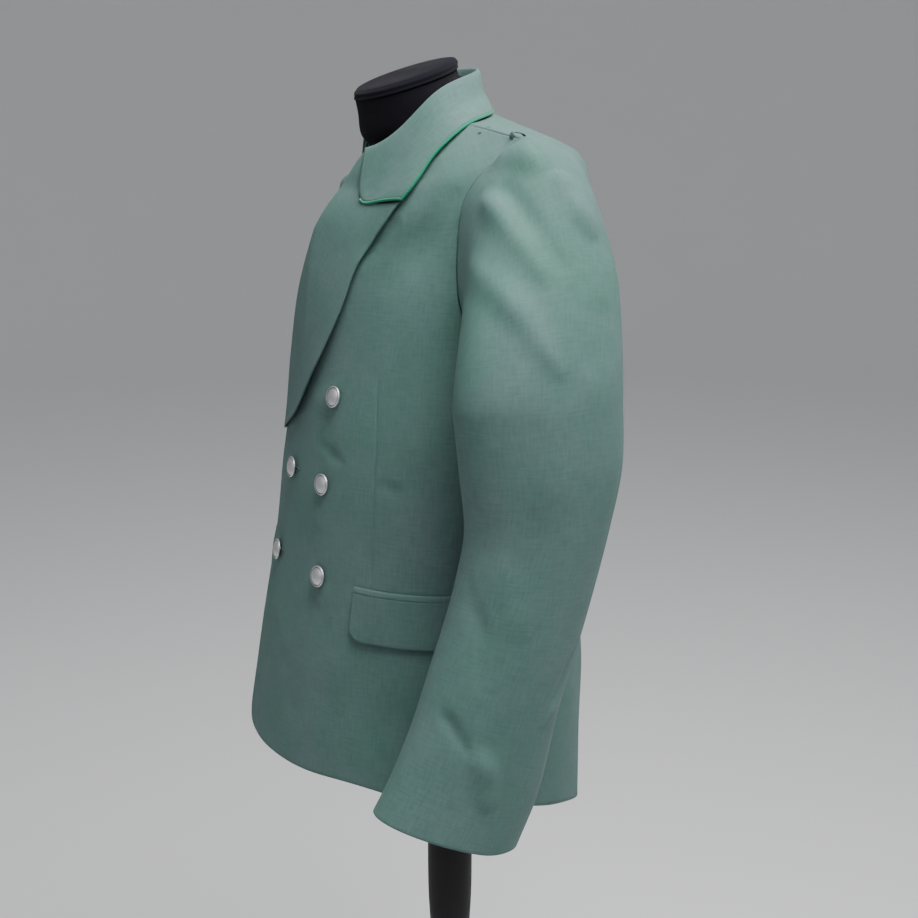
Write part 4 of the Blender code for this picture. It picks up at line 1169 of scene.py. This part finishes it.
BUTTON_SPOTS = [
    # across height
    (0.062, 1.181),
    (0.063, 1.091),
    (-0.009, 1.094),
    (0.0725, 0.996),
    (-0.032, 0.997),
]
HOLED_BUTTONS = (2, 4)
for number in HOLED_BUTTONS:
    across, height = BUTTON_SPOTS[number]
    angles = np.linspace(0, 2 * math.pi, 90)
    loop_x = across + HOLE_SHIFT + np.clip(np.cos(angles) * HOLE_LONG / 2 * 1.25,
                                       -HOLE_LONG / 2, HOLE_LONG / 2)
    loop_z = height + HOLE_HALF * np.sin(angles)
    outline = on_front(*front_place(loop_x, loop_z), 0.00025)
    sew(f"buttonhole_{number + 1}", outline, cloth_thread, pitch=0.00042, length=0.0016,
        radius=0.00022, slant=math.pi / 2, uneven=0.10, seed=11 + number)
    # The slit is a row of large dark stitches: painted shade in the cut opening.
    slit_x = across + HOLE_SHIFT + np.linspace(-HOLE_LONG / 2, HOLE_LONG / 2, 30)
    sew(f"painted_slit_shade_{number + 1}", on_front(*front_place(slit_x, height), 0.0001),
        tack_and_shade_thread, pitch=0.0012, length=0.0028, radius=0.0003, uneven=0.0)

EYELETS = [
    # a point of the shoulder, beside the collar, for the strap's button
    (0.1275, -0.0271),
    (0.1256, -0.0164),
]
for side, word in ((1, "left"), (-1, "right")):
    for number, (across, along) in enumerate(EYELETS, start=1):
        turns = np.linspace(0.20, 0.28, 400)
        rows = np.linspace(11.0, 12.0, 200)
        all_turns, all_rows = np.meshgrid(turns, rows, indexing="ij")
        spots = body_plain(all_turns, all_rows)
        away = (spots[..., 0] - across) ** 2 + (spots[..., 1] - along) ** 2
        turn, row = (grid.ravel()[away.argmin()] for grid in (all_turns, all_rows))
        centre = body(turn, row, 0.0002)
        normal = unit(body(turn, row, 1.0) - body(turn, row, 0.0))
        first = unit(np.cross(normal, [1.0, 0.0, 0.0]))
        second = np.cross(normal, first)
        angles = np.linspace(0, 2 * math.pi, 40)[:, None]
        circle = first * np.cos(angles) + second * np.sin(angles)
        mirror = [side, 1, 1]
        sew(f"eyelet_{word}_{number}", (centre + EYELET_RADIUS * circle) * mirror,
            cloth_thread, pitch=0.00045, length=0.0015, radius=0.0002, slant=math.pi / 2,
            seed=21 + number)
        # The eyelet's hole is filled with dark stitches: painted shade in the opening.
        sew(f"painted_eyelet_shade_{word}_{number}",
            (centre + 0.35 * EYELET_RADIUS * circle) * mirror,
            tack_and_shade_thread, pitch=0.0006, length=0.0012, radius=0.0004)
    for number, end in enumerate((-1, 1), start=1):
        rows = np.linspace(LOOP_ROW - LOOP_HALF, LOOP_ROW + LOOP_HALF, 20)
        tack = body(np.full(20, LOOP_TURN + end * LOOP_LONG * TACK_PLACE), rows,
                    LAY_GAP + LOOP_THICK + LOOP_HIGH * (1 - TACK_PLACE ** 4))
        sew(f"loop_tack_{word}_{number}", tack * [side, 1, 1], tack_and_shade_thread, pitch=0.0008,
            length=0.0012, radius=0.00014, slant=math.pi / 2, seed=31 + number)


# Buttons: stamped metal domes with a raised rim, 22 mm across, each on a short shank that
# is sewn to the cloth.  Wear brightens the rim and the crown, and the groove is darker.

BUTTON_PROFILE = [
    # radius  height over the cloth
    (0.0034, 0.0000),
    (0.0038, 0.0018),
    (0.0090, 0.0021),
    (0.0108, 0.0026),
    (0.0112, 0.0034),
    (0.0110, 0.0042),
    (0.0105, 0.0047),
    (0.0099, 0.0046),
    (0.0094, 0.0041),
    (0.0090, 0.0041),
    (0.0080, 0.0050),
    (0.0062, 0.0060),
    (0.0040, 0.0068),
    (0.0018, 0.0072),
    (0.0004, 0.0073),
]
BUTTON_SIDES, BUTTON_STEPS = 72, 64
GROOVE_PLACE, GROOVE_WIDE = 0.0128, 0.0007


def button_metal():
    """Worn white metal: turned rings, a dull groove, and fine scratches."""
    made, shader, flat, place = new_material("button_metal", metallic=1.0)
    groove = (-(((flat.part(1) - GROOVE_PLACE) / GROOVE_WIDE) ** 2.0)).math("EXPONENT")
    tarnish = place.noise(240.0, 4.0, 0.65)
    scratch = place.stretched(1.0, 0.15).noise(1500.0, 2.0)
    level = (0.85 * groove + 0.7 * (tarnish - 0.42)).clamped()
    colour = level.between((0.66, 0.66, 0.67, 1), (0.20, 0.20, 0.205, 1))
    finish_with(shader, colour, 0.34 + 0.20 * tarnish + 0.10 * scratch + 0.2 * groove,
                scratch + 0.5 * tarnish, 0.00003)
    return made


metal = button_metal()
button_lines = curve_through(BUTTON_PROFILE,
                             np.linspace(0, len(BUTTON_PROFILE) - 1, BUTTON_STEPS))
for number, (across, height) in enumerate(BUTTON_SPOTS, start=1):
    turn, row = front_place(across, height)
    seat = on_front(turn, row, LAY_GAP)
    out = unit(body(turn, row, 1.0, 0) - body(turn, row, 0.0, 0))
    over = unit(np.cross(out, [1.0, 0.0, 0.0]))
    along = np.cross(over, out)
    angles = 2 * math.pi * np.arange(BUTTON_SIDES) / BUTTON_SIDES
    circle = along * np.cos(angles)[:, None] + over * np.sin(angles)[:, None]
    rings = [seat + out * rise + radius * circle for radius, rise in button_lines]
    skin(f"metal_button_{number}", rings, metal, f"button_{number}")


# Studio: a pale floor, a pale room and three soft lights, and the camera where the photo
# was taken from.

FLOOR_FLAT, FLOOR_CURVE, WALL_HIGH = 6.5, 3.0, 3.5
ROOM_SIDES = 128
VIEW_ROUND, VIEW_UP = 64, 14   # degrees
VIEW_FROM = 1.624
VIEW_AT = (0.0048, 0.0099, 1.085)
LENS = 56.9

room_rings = [(0.02, 0.0), (FLOOR_FLAT, 0.0)]
room_rings += [(FLOOR_FLAT + FLOOR_CURVE * math.sin(a), FLOOR_CURVE * (1 - math.cos(a)))
               for a in np.linspace(0, math.pi / 2, 25)[1:]]
room_rings.append((FLOOR_FLAT + FLOOR_CURVE, FLOOR_CURVE + WALL_HIGH))
room_turns = 2 * math.pi * np.arange(ROOM_SIDES) / ROOM_SIDES
room_points = [(radius * math.cos(turn), radius * math.sin(turn), height)
               for radius, height in room_rings for turn in room_turns]
room_faces = [tuple(range(ROOM_SIDES))]
room_faces += [(i * ROOM_SIDES + j, i * ROOM_SIDES + (j + 1) % ROOM_SIDES,
                (i + 1) * ROOM_SIDES + (j + 1) % ROOM_SIDES, (i + 1) * ROOM_SIDES + j)[::-1]
               for i in range(len(room_rings) - 1) for j in range(ROOM_SIDES)]
floor_mesh = bpy.data.meshes.new("floor")
floor_mesh.from_pydata(room_points, [], room_faces)
floor_mesh.shade_smooth()
floor_paint, floor_shader, _, floor_place = new_material("floor_paint",
                                                         specular_ior_level=0.15)
floor_level = 0.86 + 0.02 * floor_place.noise(3.0, 3.0)
finish_with(floor_shader, floor_level.between((0, 0, 0, 1), (1, 1, 1, 1)),
            0.85 + 0.05 * floor_place.noise(6.0), floor_place.noise(60.0), 0.0002)
floor_mesh.materials.append(floor_paint)
linked("floor", floor_mesh)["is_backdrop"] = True

LIGHTS = [
    # name   round  up  away size power
    ("key", 104, 66, 1.80, 1.3, 78),
    ("fill", 20, 38, 3.4, 2.6, 13),
    ("back", 205, 55, 3.2, 2.2, 16),
]


def aimed(name, data, turn_round, up, away):
    """A lamp or camera this far from the tunic, in degrees round it and up, facing it."""
    made = linked(name, data)
    a, e = math.radians(turn_round), math.radians(up)
    toward = Vector((math.sin(a) * math.cos(e), -math.cos(a) * math.cos(e), math.sin(e)))
    made.location = Vector(VIEW_AT) + toward * away
    made.rotation_mode = "QUATERNION"
    made.rotation_quaternion = (-toward).to_track_quat("-Z", "Y")
    return made


for name, turn_round, up, away, size, power in LIGHTS:
    lamp = bpy.data.lights.new(name, "AREA")
    lamp.shape, lamp.size, lamp.energy = "DISK", size, power
    aimed(name, lamp, turn_round, up, away)

world = bpy.data.worlds.new("studio")
world.use_nodes = True
sky = world.node_tree.nodes["Background"].inputs
sky["Color"].default_value, sky["Strength"].default_value = (0.93, 0.95, 1.0, 1), 0.34
bpy.context.scene.world = world

camera_data = bpy.data.cameras.new("camera")
camera_data.lens = LENS
camera_data.clip_end = 200.0
bpy.context.scene.camera = aimed("camera", camera_data, VIEW_ROUND, VIEW_UP, VIEW_FROM)

low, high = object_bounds()
